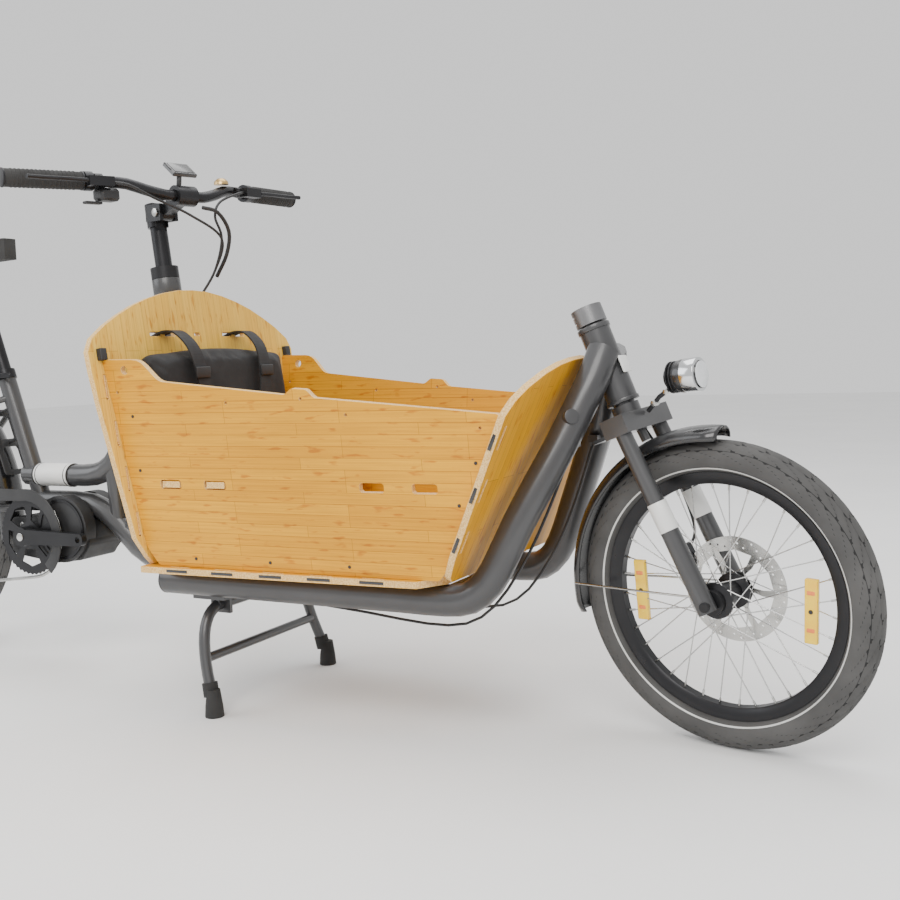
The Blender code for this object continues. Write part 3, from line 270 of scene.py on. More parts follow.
REFLECTIVE = speckled("reflective_band", (0.52, 0.52, 0.50), (0.66, 0.66, 0.64), 0.4, 0.2, 160.0, 0.3)
WHITE = speckled("white_plastic", (0.72, 0.72, 0.70), (0.82, 0.82, 0.80), 0.4, 0.0, 50.0, 0.05, 0.2)
AMBER = speckled("amber_reflector", (0.95, 0.52, 0.0), (1.0, 0.68, 0.01), 0.18, 0.0, 300.0, 0.6, 0.6)
ORANGE = speckled("orange_patch", (0.80, 0.16, 0.02), (0.95, 0.25, 0.04), 0.25, 0.0, 300.0, 0.6, 0.6)
RED = speckled("red_lens", (0.45, 0.01, 0.01), (0.65, 0.03, 0.02), 0.15, 0.0, 120.0, 0.3, 0.6)
CHROME = speckled("lamp_chrome", (0.55, 0.56, 0.57), (0.75, 0.76, 0.77), 0.12, 1.0, 30.0, 0.02)
LENS = speckled("lamp_lens", (0.62, 0.64, 0.66), (0.80, 0.82, 0.84), 0.08, 0.1, 200.0, 0.5, 0.8)
BRASS = speckled("bell_brass", (0.50, 0.33, 0.13), (0.66, 0.46, 0.20), 0.25, 1.0, 50.0, 0.05)
CLOTH = woven("cushion_cloth", (0.007, 0.007, 0.008), (0.016, 0.016, 0.017), 0.0011, 0.04)
WEBBING = woven("webbing", (0.009, 0.009, 0.010), (0.020, 0.020, 0.021), 0.0016, 0.04)
HONEY = ((0.84, 0.41, 0.012), (0.74, 0.335, 0.006), (0.42, 0.16, 0.003))
PALE = ((0.97, 0.62, 0.100), (0.91, 0.54, 0.070), (0.62, 0.31, 0.025))
BAMBOO_SIDE = bamboo("bamboo_side", "X", "Z", "Y", HONEY)
BAMBOO_END = bamboo("bamboo_end", "Z", "Y", "X", PALE)
BAMBOO_FRONT = bamboo("bamboo_front", "Z", "Y", "X", HONEY)
BAMBOO_FLOOR = bamboo("bamboo_floor", "X", "Y", "Z", HONEY)

NODE_LOOKS = {
    "box_side_right": BAMBOO_SIDE, "box_side_left": BAMBOO_SIDE, "box_rear_panel": BAMBOO_END,
    "box_front_panel": BAMBOO_FRONT, "box_floor": BAMBOO_FLOOR, "bench_board": BAMBOO_FLOOR,
    "frame_front": FRAME_PAINT, "frame_rear": FRAME_PAINT, "fork": FRAME_PAINT, "kickstand": FRAME_PAINT,
    "motor_casing": PLASTIC, "chain_guard": PLASTIC, "rear_fender": GLOSS, "front_fender": GLOSS,
    "seat_tube_plate": PLASTIC, "battery": PLASTIC, "display": GLOSS, "shifter_pod": PLASTIC,
    "shift_lever": PLASTIC,
    "control_cables": PLASTIC, "steering_cable_right": PLASTIC, "steering_cable_left": PLASTIC,
    "grip_right": GRIP_RUBBER, "grip_left": GRIP_RUBBER, "foot_right": GRIP_RUBBER, "foot_left": GRIP_RUBBER,
    "saddle": GRIP_RUBBER, "chain": STEEL, "cassette": STEEL, "rear_brake_disc": STEEL,
    "front_brake_disc": STEEL,
    "headlight": GLOSS, "steerer_collar": SATIN, "rear_light": RED, "bell": BRASS,
}


def dress_cad():
    """Each carried-over CAD node gets its material, welded corners and smooth round faces."""
    for name, node in frame["nodes"].items():
        look = NODE_LOOKS.get(name, ALLOY)
        node.data.materials.clear()
        node.data.materials.append(look)
        node.data.polygons.foreach_set("use_smooth", [True] * len(node.data.polygons))
        if "custom_normal" in node.data.attributes:
            node.data.attributes.remove(node.data.attributes["custom_normal"])
        weld = node.modifiers.new("weld", "WELD")
        weld.merge_threshold = 1e-5
        if look in (BAMBOO_SIDE, BAMBOO_END, BAMBOO_FRONT, BAMBOO_FLOOR, PLASTIC):
            soft = node.modifiers.new("soft", "BEVEL")
            soft.width = 0.0007
            soft.segments = 1
            soft.angle_limit = math.radians(50)
        if name in ("saddle", "battery"):
            round_off = node.modifiers.new("round", "BEVEL")
            round_off.width = 0.012
            round_off.segments = 4
            round_off.angle_limit = math.radians(25)
        split = node.modifiers.new("split", "EDGE_SPLIT")
        split.split_angle = math.radians(38)


# ---------------------------------------------------------------- piece tools
def keep(obj, body, look):
    """Links a new piece, gives it its material and lets it ride on its body."""
    if obj.name not in bpy.context.scene.collection.objects:
        bpy.context.scene.collection.objects.link(obj)
    obj.data.materials.clear()
    obj.data.materials.append(look)
    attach(obj, body)
    return obj


def smooth_path(points, steps=8):
    """A Catmull-Rom curve through the points."""
    given = [Vector(p) for p in points]
    out = []
    for i in range(len(given) - 1):
        p1, p2 = given[i], given[i + 1]
        p0 = given[i - 1] if i else p1 * 2 - p2
        p3 = given[i + 2] if i + 2 < len(given) else p2 * 2 - p1
        for s in range(steps):
            t = s / steps
            out.append(0.5 * (2 * p1 + (p2 - p0) * t + (2 * p0 - 5 * p1 + 4 * p2 - p3) * t * t
                              + (3 * p1 - p0 - 3 * p2 + p3) * t ** 3))
    return out + [given[-1]]


def wires(name, runs, radius, body, look, matrix=STRAIGHT, resolution=3):
    """One curve object with a round section along each run of points."""
    curve = bpy.data.curves.new(name, "CURVE")
    curve.dimensions = "3D"
    curve.bevel_depth = radius
    curve.bevel_resolution = resolution
    curve.use_fill_caps = True
    for run in runs:
        spline = curve.splines.new("POLY")
        spline.points.add(len(run) - 1)
        for point, place in zip(spline.points, run):
            point.co = (*(matrix @ Vector(place)), 1.0)
        spline.use_smooth = True
    return keep(bpy.data.objects.new(name, curve), body, look)


def mesh_piece(name, work, body, look, matrix=STRAIGHT, smooth=True):
    """A piece from a bmesh, placed by the matrix."""
    bmesh.ops.recalc_face_normals(work, faces=work.faces)
    bmesh.ops.transform(work, matrix=matrix, verts=work.verts)
    mesh = bpy.data.meshes.new(name)
    work.to_mesh(mesh)
    work.free()
    mesh.polygons.foreach_set("use_smooth", [smooth] * len(mesh.polygons))
    return keep(bpy.data.objects.new(name, mesh), body, look)


def revolve(name, centre, profile, steps, body, look, matrix=STRAIGHT, lift=None, closed=True):
    """A profile of (radius, side) turned about the Y axis through the centre; lift adds tread to a point."""
    work = bmesh.new()
    rings = []
    for i in range(steps):
        a = math.tau * i / steps
        ring = []
        for k, (r, y) in enumerate(profile):
            r += lift(i, k) if lift else 0.0
            place = (centre.x + r * math.cos(a), centre.y + y, centre.z + r * math.sin(a))
            ring.append(work.verts.new(place))
        rings.append(ring)
    spans = len(profile) if closed else len(profile) - 1
    for i in range(steps):
        first, second = rings[i], rings[(i + 1) % steps]
        for k in range(spans):
            j = (k + 1) % len(profile)
            work.faces.new((first[k], first[j], second[j], second[k]))
    made = mesh_piece(name, work, body, look, matrix, True)
    split = made.modifiers.new("split", "EDGE_SPLIT")
    split.split_angle = math.radians(35)
    return made


def cuboid(name, size, centre, body, look, matrix=STRAIGHT, turn=None, soft=0.001):
    """A block with rounded edges."""
    work = bmesh.new()
    bmesh.ops.create_cube(work, size=1.0)
    place = Matrix.Translation(centre) @ (turn or Matrix.Identity(4)) @ Matrix.Diagonal((*size, 1.0))
    bmesh.ops.transform(work, matrix=place, verts=work.verts)
    made = mesh_piece(name, work, body, look, matrix, True)
    edge = made.modifiers.new("soft", "BEVEL")
    edge.width = soft
    edge.segments = 3
    split = made.modifiers.new("split", "EDGE_SPLIT")
    split.split_angle = math.radians(45)


def knob(name, start, end, radius, body, look, matrix=STRAIGHT, sides=24):
    """A short cylinder with a chamfered rim, such as a bolt head or a cap."""
    start, end = Vector(start), Vector(end)
    work = bmesh.new()
    bmesh.ops.create_cone(work, cap_ends=True, segments=sides, radius1=radius, radius2=radius,
                          depth=(end - start).length)
    turn = (end - start).to_track_quat("Z", "Y").to_matrix().to_4x4()
    bmesh.ops.transform(work, matrix=Matrix.Translation((start + end) / 2) @ turn, verts=work.verts)
    made = mesh_piece(name, work, body, look, matrix, True)
    edge = made.modifiers.new("soft", "BEVEL")
    edge.width = min(radius * 0.15, 0.001)
    edge.segments = 2
    edge.angle_limit = math.radians(50)
    split = made.modifiers.new("split", "EDGE_SPLIT")
    split.split_angle = math.radians(40)


# ---------------------------------------------------------------- wheels
def tyre(prefix, hub, size, matrix, body):
    """A city tyre: round casing, shallow tread blocks and a reflective band on each side; the grooves get
    painted shade.
    """
    outer, bead = size
    half = TYRE_WIDTH / 2
    middle = outer - half
    count = 53
    profile = []
    for k in range(count):
        a = math.radians(-40 + 260 * k / (count - 1))
        profile.append((middle + half * math.sin(a), half * math.cos(a)))
    profile = [(bead + 0.0045, 0.013), *profile, (bead + 0.0045, -0.013)]
    centre = (len(profile) - 1) // 2

    def tread(i, k):
        out = abs(k - centre)
        if out > TREAD_EDGE:
            return 0.0
        if out in TREAD_GROOVES:
            return -0.0016
        slant = 1 if out < TREAD_GROOVES[0] else 2
        return -0.0018 if (i + slant * out) % 10 < 2 and out > 0 else 0.0

    made = revolve(prefix + "_tyre_skin", hub, profile, TREAD_STEPS, body, RUBBER, matrix, tread)
    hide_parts(prefix + "_tyre")
    # Groove faces get the darker second material: painted shade in the tread grooves.
    made.data.materials.append(GROOVE_SHADE)
    for face in made.data.polygons:
        i, k = divmod(face.index, len(profile))
        beside = tread(i, k + 1) < 0 or tread((i + 1) % TREAD_STEPS, k) < 0
        if tread(i, k) < 0 and beside:
            face.material_index = 1
    for side, word in SIDES:
        band = []
        for a in (-35, -33, -31, -29):
            t = math.radians(a)
            band.append((middle + (half + 0.0004) * math.sin(t), side * (half + 0.0004) * math.cos(t)))
        revolve(f"{prefix}_band_{word}", hub, band, 160, body, REFLECTIVE, matrix, closed=False)


def rim(prefix, hub, bead, matrix, body):
    """A deep rim: one half of its section and its mirror image."""
    half = [(bead - 0.016, 0.008), (bead - 0.013, 0.0105), (bead - 0.004, 0.0135),
            (bead + 0.002, 0.0148), (bead + 0.0044, 0.0148)]
    profile = half + [(r, -y) for r, y in reversed(half)]
    made = revolve(prefix + "_rim_skin", hub, profile, 160, body, ALLOY, matrix)
    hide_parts(prefix + "_rim")


def spokes(prefix, hub, bead, flange, matrix, body):
    """Laced spokes with their nipples."""
    runs = []
    nipples = []
    for i in range(SPOKES):
        side = 1 if i % 2 else -1
        lean = 1 if (i // 2) % 2 else -1
        rim_angle = math.tau * (i + 0.5) / SPOKES
        hub_angle = rim_angle + lean * math.radians(62)
        low = Vector((flange * math.cos(hub_angle), side * 0.0335, flange * math.sin(hub_angle)))
        reach = bead - 0.0155
        high = Vector((reach * math.cos(rim_angle), side * 0.002, reach * math.sin(rim_angle)))
        runs.append([hub + low, hub + high])
        nipples.append([hub + high, hub + high.lerp(low, 0.06)])
    wires(prefix + "_spokes", runs, 0.0010, body, SPOKE_STEEL, matrix, 2)
    wires(prefix + "_nipples", nipples, 0.0019, body, STEEL, matrix, 2)


def reflector(name, hub, bead, angle, matrix, body):
    """An amber spoke reflector with two small orange patches and a screw."""
    turn = Matrix.Rotation(-angle, 4, "Y")
    place = Matrix.Translation(hub) @ turn
    middle = bead - 0.055
    for part, size, look, shift in (("body", (0.021, 0.010, 0.104), AMBER, 0.0),
                                    ("patch_a", (0.014, 0.0112, 0.008), ORANGE, 0.030),
                                    ("patch_b", (0.014, 0.0112, 0.008), ORANGE, -0.030)):
        cuboid(f"{name}_{part}", size, (middle, -0.008, shift), body, look, matrix @ place, None, 0.002)
    knob(name + "_screw", (middle, -0.0142, 0.0), (middle, -0.0125, 0.0), 0.0035, body, PLASTIC,
         matrix @ place)


def disc(prefix, hub, side, matrix, body, bore):
    """A brake disc with a drilled braking ring on six arms."""
    curve = bpy.data.curves.new(prefix + "_disc_skin", "CURVE")
    curve.dimensions = "2D"
    curve.fill_mode = "BOTH"
    curve.extrude = 0.0009

    def ring(centre, radius, count):
        turns = [math.tau * i / count for i in range(count)]
        add([(centre[0] + radius * math.cos(t), centre[1] + radius * math.sin(t)) for t in turns])

    def add(points):
        spline = curve.splines.new("POLY")
        spline.points.add(len(points) - 1)
        for point, (u, v) in zip(spline.points, points):
            point.co = (u, v, 0.0, 1.0)
        spline.use_cyclic_u = True

    ring((0.0, 0.0), 0.0895, 120)
    ring((0.0, 0.0), bore, 32)
    for i in range(6):
        start = math.tau * i / 6
        window = []
        for a, r in ((0.16, 0.032), (0.05, 0.048), (0.06, 0.0665), (0.50, 0.0675), (0.94, 0.0665),
                     (0.90, 0.048), (0.98, 0.032), (0.55, 0.030)):
            window.append((r * math.cos(start + a), r * math.sin(start + a)))
        add(window)
    for i in range(42):
        a = math.tau * i / 42
        reach = 0.0785 + 0.0055 * (i % 3 - 1)
        ring((reach * math.cos(a), reach * math.sin(a)), 0.0019, 10)
    place = matrix @ Matrix.Translation(hub + Y * side) @ Matrix.Rotation(math.radians(90), 4, "X")
    made = bpy.data.objects.new(prefix + "_disc_skin", curve)
    made.matrix_world = place
    keep(made, body, STEEL)
    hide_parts(prefix + "_brake_disc")


def fender_skin(name, hub, radius, start, end, matrix, body, replaced):
    """A smooth rolled mudguard from angle start to angle end in degrees."""
    half = 0.033
    flank = [(half, -0.012), (half - 0.0012, -0.005), (half - 0.005, 0.001), (half / 2, 0.0072)]
    profile = [(-w, h) for w, h in flank] + [(0.0, 0.0100)] + list(reversed(flank))
    steps = 72
    work = bmesh.new()
    rows = []
    for i in range(steps + 1):
        share = i / steps
        a = math.radians(start + (end - start) * share)
        out = Vector((math.cos(a), 0.0, math.sin(a)))
        ease = min(1.0, 0.72 + 8.0 * min(share, 1.0 - share))
        rows.append([work.verts.new(hub + out * (radius + h) + Y * (w * ease)) for w, h in profile])
    for first, second in zip(rows, rows[1:]):
        for k in range(len(profile) - 1):
            work.faces.new((first[k], first[k + 1], second[k + 1], second[k]))
    made = mesh_piece(name, work, body, GLOSS, matrix, True)
    wall = made.modifiers.new("wall", "SOLIDIFY")
    wall.thickness = 0.0022
    wall.offset = 0.0
    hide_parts(replaced)


def fenders():
    """Both mudguards, and the front one's stays to the axle."""
    fender_skin("front_fender_skin", FRONT_HUB, 0.2705, 88, 192, FORK_TURN, "front_fork", "front_fender")
    fender_skin("rear_fender_skin", REAR_HUB, 0.3460, -12, 158, STRAIGHT, "frame", "rear_fender")
    runs = []
    for side in (-1, 1):
        runs.append([(1.026, side * 0.0545, 0.266), (0.900, side * 0.0470, 0.262),
                     (0.7735, side * 0.0318, 0.256)])
    wires("front_fender_stays", runs, 0.0019, "front_fork", STEEL, FORK_TURN, 3)


def wheels():
    """Both wheels with their discs, reflectors and bolts, and the front axle nuts."""
    for prefix, hub, size, matrix, flange, side, bore in (
            ("front", FRONT_HUB, FRONT_TYRE, FORK_TURN, 0.0285, 0.0405, 0.0212),
            ("rear", REAR_HUB, REAR_TYRE, STRAIGHT, 0.0275, 0.0545, 0.0112)):
        body = prefix + "_wheel"
        tyre(prefix, hub, size, matrix, body)
        rim(prefix, hub, size[1], matrix, body)
        spokes(prefix, hub, size[1], flange, matrix, body)
        disc(prefix, hub, side, matrix, body, bore)
        reflector(prefix + "_reflector_a", hub, size[1], math.radians(182), matrix, body)
        reflector(prefix + "_reflector_b", hub, size[1], math.radians(-2), matrix, body)
        for i in range(6):
            a = math.tau * (i + 0.5) / 6
            at = hub + Vector((0.0262 * math.cos(a), side, 0.0262 * math.sin(a)))
            knob(f"{prefix}_disc_bolt_{i}", at, at + Y * 0.0028, 0.0028, body, STEEL, matrix, 12)
    for side, word in SIDES:
        outward = FORK_TURN @ Matrix.Translation((0.0, side * 0.0105, 0.0))
        knob(f"front_axle_nut_{word}", FRONT_HUB + Y * side * 0.0520, FRONT_HUB + Y * side * 0.0660, 0.0085,
             "front_fork", ALLOY, outward, 20)


# ---------------------------------------------------------------- soft goods
def swollen(source, name, shrink, cap, body, arch=0.0):
    """A cushion blown up by cloth pressure from a slightly smaller copy of a CAD solid."""
    low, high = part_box(source)
    centre = (low + high) / 2
    work = bmesh.new()
    work.from_mesh(frame["nodes"][source].data)
    bmesh.ops.remove_doubles(work, verts=work.verts, dist=1e-5)
    for vert in work.verts:
        for axis in range(3):
            room = (high[axis] - low[axis]) / 2
            vert.co[axis] = centre[axis] + (vert.co[axis] - centre[axis]) * (room - shrink) / room
    mesh = bpy.data.meshes.new(name)
    work.to_mesh(mesh)
    work.free()
    made = bpy.data.objects.new(name, mesh)
    bpy.context.scene.collection.objects.link(made)
    bpy.context.view_layer.objects.active = made
    remesh = made.modifiers.new("voxels", "REMESH")
    remesh.mode = "VOXEL"
    remesh.voxel_size = 0.0055
    apply_all(made)
    for vert in made.data.vertices:
        rise = max(0.0, (vert.co.z - centre.z) / (high.z - centre.z))
        vert.co.z -= arch * rise * (2 * (vert.co.y - centre.y) / (high.y - low.y)) ** 2
    before = [v.co.copy() for v in made.data.vertices]
    cloth = made.modifiers.new("cloth", "CLOTH")
    cloth.settings.use_pressure = True
    cloth.settings.uniform_pressure_force = CUSHION_PRESSURE
    cloth.settings.effector_weights.gravity = 0.0
    cloth.settings.quality = 4
    cloth.point_cache.frame_start = 1
    cloth.point_cache.frame_end = CUSHION_STEPS
    for step in range(1, CUSHION_STEPS + 1):
        bpy.context.scene.frame_set(step)
    apply_all(made)
    for vert, old in zip(made.data.vertices, before):
        moved = vert.co - old
        if moved.length > cap:
            vert.co = old + moved.normalized() * cap
    bpy.context.scene.frame_set(1)
    made.data.polygons.foreach_set("use_smooth", [True] * len(made.data.polygons))
    detail = made.modifiers.new("fine", "SUBSURF")
    detail.levels = 1
    detail.render_levels = 1
    keep(made, body, CLOTH)
    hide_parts(source)


def apply_all(obj):
    """Bakes an object's modifiers into its mesh."""
    bpy.context.view_layer.update()
    graph = bpy.context.evaluated_depsgraph_get()
    mesh = bpy.data.meshes.new_from_object(obj.evaluated_get(graph))
    obj.modifiers.clear()
    obj.data = mesh


def strap(name, points, width, thick, across, body):
    """Flat webbing along a smooth path."""
    path = smooth_path(points, 6)
    side = Vector(across).normalized() * width / 2
    work = bmesh.new()
    rows = []
    for i, point in enumerate(path):
        ahead = path[min(i + 1, len(path) - 1)] - path[max(i - 1, 0)]
        up = side.cross(ahead).normalized() * thick / 2
        rows.append([work.verts.new(point + side + up), work.verts.new(point + side - up),
                     work.verts.new(point - side - up), work.verts.new(point - side + up)])
    for first, second in zip(rows, rows[1:]):
        for k in range(4):
            j = (k + 1) % 4
            work.faces.new((first[k], first[j], second[j], second[k]))
    work.faces.new(rows[0])
    work.faces.new(list(reversed(rows[-1])))
    made = mesh_piece(name, work, body, WEBBING, STRAIGHT, True)
    split = made.modifiers.new("split", "EDGE_SPLIT")
    split.split_angle = math.radians(40)


def cushions():
    """The two cushions with their seams and piping, and the harness that lies on them."""
    swollen("seat_cushion", "seat_pad", 0.006, 0.010, "frame")
    swollen("back_cushion", "back_pad", 0.006, 0.010, "frame", 0.024)
    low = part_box("back_cushion")[0]
    for y in (-0.15, -0.05, 0.05, 0.15):
        seam = smooth_path([(low.x + 0.056, y, 0.512), (low.x + 0.050, y, 0.60),
                            (low.x + 0.036, y, 0.682 - 0.5 * y * y)])
        wires(f"back_seam_{int((y + 1) * 100)}", [seam], 0.0012, "frame", WEBBING, STRAIGHT, 2)
    low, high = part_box("seat_cushion")
    edge = [(low.x + 0.008, low.y + 0.008), (high.x - 0.006, low.y + 0.008), (high.x - 0.006, high.y - 0.008),
            (low.x + 0.008, high.y - 0.008), (low.x + 0.008, low.y + 0.008)]
    piping = [(x, y, high.z - 0.012) for x, y in edge]
    wires("seat_piping", [piping], 0.0022, "frame", WEBBING, STRAIGHT, 3)
    for y, word in ((-0.109, "right"), (0.109, "left")):
        shoulder = [(-0.048, y, 0.716), (-0.034, y, 0.7215), (-0.012, y, 0.727), (0.014, y, 0.722),
                    (0.044, y * 0.97, 0.690), (0.058, y * 0.9, 0.63), (0.062, y * 0.75, 0.560),
                    (0.072, y * 0.5, 0.508)]
        strap("shoulder_strap_" + word, shoulder, 0.034, 0.003, (0.0, 1.0, 0.0), "frame")
        cuboid("strap_slider_" + word, (0.006, 0.040, 0.022), (0.060, y * 0.93, 0.645), "frame", PLASTIC,
               STRAIGHT, None, 0.002)
        lap = [(0.072, y * 1.75, 0.504), (0.100, y * 1.2, 0.503), (0.118, y * 0.55, 0.504),
               (0.122, y * 0.15, 0.5055)]
        strap("lap_strap_" + word, lap, 0.030, 0.003, (1.0, 0.0, 0.0), "frame")
    cuboid("harness_buckle", (0.052, 0.046, 0.012), (0.118, 0.0, 0.511), "frame", PLASTIC, STRAIGHT, None,
           0.004)


# ---------------------------------------------------------------- small fittings
def box_half_width(x, z):
    """Half the outer width of the box at a place along it and a height."""
    return BOX_HALF - BOX_TAPER * x + BOX_FLARE * z


def box_fittings():
    """Corner caps, screws along the panels and the tabs that fill the joints."""
    lean = Matrix.Rotation(-math.atan(REAR_SLOPE), 4, "Y")
    screws = ((0.130, 0.3075), (0.29, 0.3075), (0.45, 0.3075), (0.03, 0.47), (0.03, 0.57), (0.665, 0.42),
              (0.70, 0.49))
    for side, word in SIDES:
        out = Vector((BOX_TAPER, side, -BOX_FLARE)).normalized()
        cuboid("corner_cap_" + word, (0.020, 0.016, 0.022), (-0.0235, side * 0.284, 0.684), "frame",
               PLASTIC, STRAIGHT, lean, 0.002)
        for x, z in screws:
            base = Vector((x, side * box_half_width(x, z), z))
            knob(f"screw_{int(x * 1000)}_{int(z * 1000)}_{word}", base - out * 0.001, base + out * 0.0010,
                 0.0030, "frame", PLASTIC, STRAIGHT, 12)
        for i, z in enumerate((0.37, 0.455, 0.54, 0.625)):
            y = side * (box_half_width(0.0, z) + 0.0055)
            x = 0.021 - REAR_SLOPE * (z - 0.32)
            cuboid(f"rear_tab_{i}_{word}", (0.0116, 0.0050, 0.043), (x - 0.0065, y, z), "frame",
                   BAMBOO_SIDE, STRAIGHT, lean, 0.0006)


def tab_shade_strips():
    """Thin dark sheets of painted shade in the gaps beside the tabs along the floor's and the front panel's
    edges.
    """
    lean = Matrix.Rotation(math.atan(FRONT_SLOPE), 4, "Y")
    for side, word in SIDES:
        # Each thin black sheet below is painted shade in a joint, not a part of the box.
        taper = Matrix.Rotation(-side * FLOOR_TAPER, 4, "Z")
        for i, x in enumerate((0.095, 0.194, 0.296, 0.394, 0.497)):
            out = 0.2502 - FLOOR_TAPER * (x - 0.03)
            cuboid(f"floor_shade_strip_{i}_{word}", (0.046, 0.0014, 0.0050), (x, side * out, 0.2844), "frame",
                   GLOSS, STRAIGHT, taper, 0.0004)
        for i, z in enumerate((0.363, 0.446, 0.531)):
            x = 0.638 + FRONT_SLOPE * (z - 0.316) + 0.0060
            out = 0.2262 + 0.1048 * (z - 0.335)
            cuboid(f"front_gap_{i}_{word}", (0.0060, 0.0014, 0.040), (x, side * out, z), "frame", GLOSS,
                   STRAIGHT, lean, 0.0004)


def frame_fittings():
    """Collar rings, front reflector, tube bosses, rail caps, the plain label band and motor details."""
    axis = Vector((-math.sin(HEAD_RAKE), 0.0, math.cos(HEAD_RAKE)))
    forward = Vector((math.cos(HEAD_RAKE), 0.0, math.sin(HEAD_RAKE)))
    pivot = Vector((1.0025, 0.0, 0.2425))

    def head(z):
        return pivot + axis * ((z - pivot.z) / axis.z)

    def column(z):
        return Vector((-0.1308 - 0.1210 * (z - 1.0059), 0.0, z))

    for name, low, high, radius in (("head_ring_low", head(0.572), head(0.578), 0.0285),
                                    ("head_ring_high", head(0.694), head(0.7018), 0.0285),
                                    ("column_ring_low", column(0.447), column(0.455), 0.0280),
                                    ("column_ring_high", column(0.806), column(0.8380), 0.0288)):
        knob(name, low, high, radius, "frame", FRAME_PAINT, STRAIGHT, 40)
    cuboid("front_reflector", (0.004, 0.040, 0.030), head(0.628) + forward * 0.0275, "frame", WHITE,
           STRAIGHT, Matrix.Rotation(-HEAD_RAKE, 4, "Y"), 0.002)
    for side, word in SIDES:
        knob("tube_boss_" + word, (0.806, side * 0.086, 0.553), (0.815, side * 0.096, 0.556), 0.0125,
             "frame", FRAME_PAINT)
        knob("rail_end_" + word, (-0.0005, side * 0.165, 0.250), (0.0030, side * 0.165, 0.250), 0.0275,
             "frame", PLASTIC, STRAIGHT, 40)
    knob("label_band", (-0.505, 0.0, 0.425), (-0.405, 0.0, 0.4255), 0.0258, "frame", WHITE, STRAIGHT, 48)
    for i, x in enumerate((-0.5075, -0.4985, -0.4125, -0.4035)):
        knob(f"label_line_{i}", (x - 0.0015, 0.0, 0.4250), (x + 0.0015, 0.0, 0.4250), 0.0263, "frame",
             PLASTIC, STRAIGHT, 48)
    for x in (-0.52, -0.44, -0.36):
        knob(f"motor_bolt_{int(-x * 100)}", (x, -0.0480, 0.318), (x, -0.0515, 0.318), 0.0055, "frame",
             STEEL, STRAIGHT, 6)
    rim_section = [(0.060, 0.0), (0.060, -0.0015), (0.066, -0.0015), (0.066, 0.0)]
    revolve("motor_ring", Vector((-0.392, -0.0585, 0.313)), rim_section, 64, "frame", ALLOY, STRAIGHT)


def fork_fittings():
    """White bands on the legs, the brake hose, and the lamp's lens, bezel, fins and bolts."""
    top = Vector((0.8960, 0.0, 0.5440))
    low = Vector((1.040, 0.0, 0.2455))
    for side, word in SIDES:
        first = top.lerp(low, 0.42) + Y * side * 0.0596
        last = top.lerp(low, 0.57) + Y * side * 0.0596
        knob("leg_band_" + word, first, last, 0.0162, "front_fork", WHITE, FORK_TURN, 32)
    hose = smooth_path([(0.885, 0.045, 0.520), (0.905, 0.067, 0.470), (0.935, 0.071, 0.410),
                        (0.958, 0.064, 0.350), (0.955, 0.052, 0.318)])
    wires("front_brake_hose", [hose], 0.0024, "front_fork", PLASTIC, FORK_TURN, 3)
    centre = Vector((0.983, 0.0, 0.6165))
    aim = Vector((math.sin(LAMP_AIM), 0.0, math.cos(LAMP_AIM)))
    knob("lamp_lens", centre + aim * 0.0332, centre + aim * 0.0350, 0.0215, "lamp", LENS, FORK_TURN, 40)
    knob("lamp_bezel", centre + aim * 0.0060, centre + aim * 0.0310, 0.0278, "lamp", CHROME, FORK_TURN, 48)
    for i in range(4):
        back = centre + aim * (-0.020 + 0.006 * i)
        front = centre + aim * (-0.0175 + 0.006 * i)
        knob(f"lamp_fin_{i}", back, front, 0.0262, "lamp", ALLOY, FORK_TURN, 40)
    for i, (x, z) in enumerate(((0.930, 0.5725), (0.9535, 0.592))):
        knob(f"lamp_bolt_{i}", (x, -0.0075, z), (x, 0.0075, z), 0.0052, "front_fork", STEEL, FORK_TURN, 16)


def bar_fittings():
    """Grip ribs and collars, stem bolts, the display's arm and face, and the hoses from the levers."""
    inner = Vector((-0.0608, 0.148, 1.019))
    outer = Vector((-0.1008, 0.340, 1.019))

    def bar_point(side, reach):
        point = inner.lerp(outer, (reach - inner.y) / (outer.y - inner.y))
        return Vector((point.x, side * point.y, point.z))

    for side, word in SIDES:
        for i in range(16):
            a = bar_point(side, 0.216 + RIB_PITCH * i)
            b = bar_point(side, 0.2195 + RIB_PITCH * i)
            knob(f"grip_rib_{word}_{i}", a, b, 0.01765, "bar", GRIP_RUBBER, BAR_TURN, 28)
        for reach, name in ((0.2000, "inner"), (0.3440, "outer")):
            a = bar_point(side, reach)
            b = bar_point(side, reach + 0.004)
            knob(f"grip_collar_{word}_{name}", a, b, 0.0180, "bar", ALLOY, BAR_TURN, 32)
        start = bar_point(side, 0.162) + Vector((0.026, 0.0, -0.003))
        hose = [start, start + Vector((0.016, -side * 0.030, -0.006)),
                start + Vector((0.018, -side * 0.080, -0.026)),
                Vector((-0.012, side * 0.030 + 0.03, 0.958)), Vector((-0.018, 0.078, 0.915)),
                Vector((-0.046, 0.076, 0.850)), Vector((-0.078, 0.052, 0.790)),
                Vector((-0.088, 0.044, 0.755))]
        wires("brake_hose_" + word, [smooth_path(hose)], 0.0026, "bar", PLASTIC, BAR_TURN, 3)
    for side, word in SIDES:
        knob("stem_bolt_" + word, (-0.098, side * 0.0222, 0.972), (-0.098, side * 0.0262, 0.972), 0.0085,
             "column", STEEL, BAR_TURN, 24)
    arm = smooth_path([(-0.030, -0.012, 1.010), (-0.026, -0.012, 1.030), (-0.036, -0.004, 1.047)])
    wires("display_arm", [arm], 0.0050, "bar", PLASTIC, BAR_TURN, 4)
    turn = Matrix.Rotation(DISPLAY_TILT, 4, "Y")
    face = Vector((-0.0368, 0.0, 1.050)) + turn @ Vector((0.0048, 0.0, 0.0))
    cuboid("screen_face", (0.0012, 0.048, 0.032), face, "display_unit", GLOSS, BAR_TURN, turn, 0.0005)


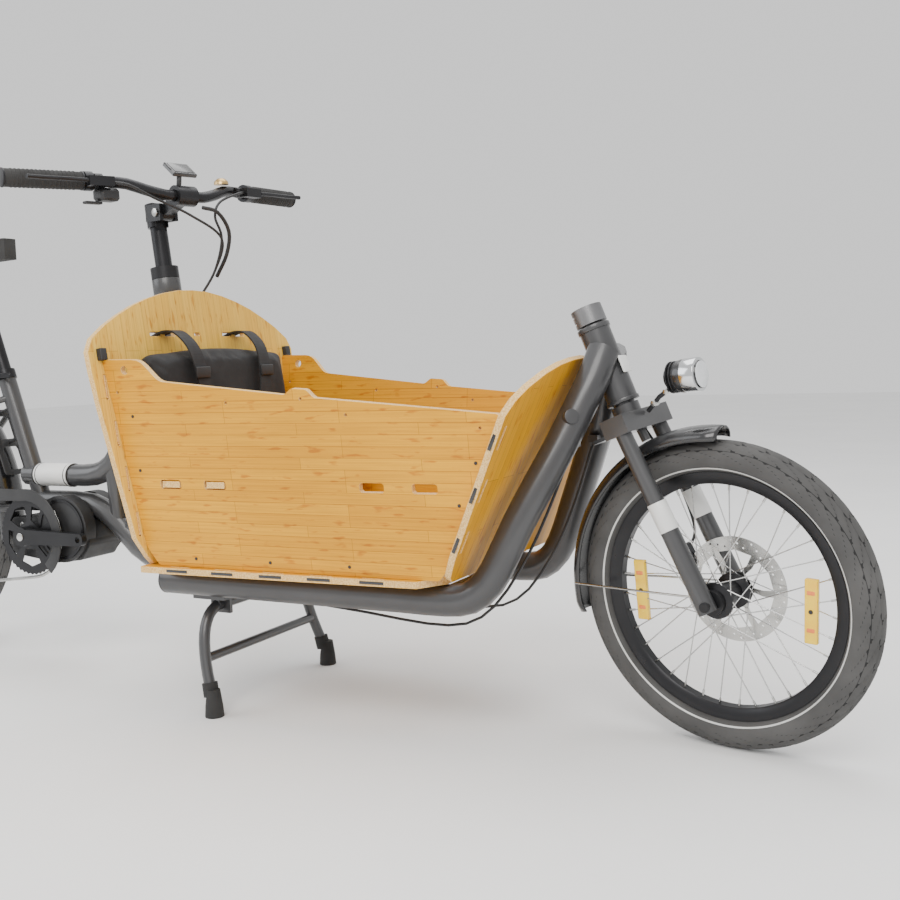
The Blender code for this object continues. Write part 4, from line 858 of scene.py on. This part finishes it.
def drive_fittings():
    """The two jockey wheels and the crank bolts."""
    def teeth(i, k):
        return 0.0016 if i % 4 < 2 and k in (1, 2) else 0.0

    section = [(0.004, 0.003), (0.0160, 0.001), (0.0160, -0.001), (0.004, -0.003)]
    for name, x, z in (("upper_jockey", -0.932, 0.252), ("lower_jockey", -0.905, 0.170)):
        revolve(name, Vector((x, JOCKEY_Y, z)), section, 44, "frame", PLASTIC, STRAIGHT, teeth)
    for name, near, far in (("crank_bolt", -0.0914, -0.0945), ("crank_bolt_left", 0.0904, 0.0935)):
        knob(name, CRANK + Y * near, CRANK + Y * far, 0.0090, "cranks", STEEL, STRAIGHT, 24)


# ---------------------------------------------------------------- stage
def stage():
    """Pale floor, even sky, soft lights and the camera."""
    work = bmesh.new()
    bmesh.ops.create_grid(work, x_segments=2, y_segments=2, size=14.0)
    mesh = bpy.data.meshes.new("floor")
    work.to_mesh(mesh)
    work.free()
    ground = bpy.data.objects.new("floor", mesh)
    bpy.context.scene.collection.objects.link(ground)
    look = Look("floor", (0.72, 0.72, 0.71), 0.85)
    look.colour(look.ramp(look.noise(2.0), [(0.3, (0.86, 0.86, 0.855)), (0.7, (0.90, 0.90, 0.895))]))
    mesh.materials.append(look.material)
    ground.location.z = -0.0005
    world = bpy.data.worlds.new("studio")
    world.use_nodes = True
    world.node_tree.nodes["Background"].inputs["Color"].default_value = (1.0, 1.0, 1.0, 1.0)
    world.node_tree.nodes["Background"].inputs["Strength"].default_value = 1.0
    bpy.context.scene.world = world
    for name, place, size, power, tint in (("key", (1.6, -3.6, 3.8), 3.0, 190.0, (1.0, 0.98, 0.95)),
                                           ("fill", (-3.2, -2.4, 2.6), 3.0, 70.0, (0.93, 0.96, 1.0)),
                                           ("top", (0.2, 0.8, 4.2), 3.4, 110.0, (1.0, 1.0, 1.0))):
        light = bpy.data.lights.new(name, "AREA")
        light.size = size
        light.energy = power
        light.color = tint
        lamp = bpy.data.objects.new(name, light)
        bpy.context.scene.collection.objects.link(lamp)
        lamp.location = place
        lamp.rotation_euler = (Vector((0.2, 0.0, 0.45)) - Vector(place)).to_track_quat("-Z", "Y").to_euler()
    yaw, pitch, roll = (math.radians(a) for a in CAMERA_ANGLES)
    ahead = Vector((-math.sin(yaw) * math.cos(pitch), math.cos(yaw) * math.cos(pitch), math.sin(pitch)))
    right = Vector((math.cos(yaw), math.sin(yaw), 0.0))
    up = right.cross(ahead)
    across = right * math.cos(roll) + up * math.sin(roll)
    upward = up * math.cos(roll) - right * math.sin(roll)
    lens = bpy.data.cameras.new("camera")
    lens.lens = CAMERA_LENS
    lens.sensor_width = 36.0
    camera = bpy.data.objects.new("camera", lens)
    bpy.context.scene.collection.objects.link(camera)
    aimed = Matrix((across, upward, -ahead)).transposed().to_4x4()
    camera.matrix_world = Matrix.Translation(CAMERA_PLACE) @ aimed
    bpy.context.scene.camera = camera


stage()
dress_cad()
wheels()
fenders()
cushions()
box_fittings()
tab_shade_strips()
frame_fittings()
fork_fittings()
bar_fittings()
drive_fittings()
bpy.context.view_layer.update()
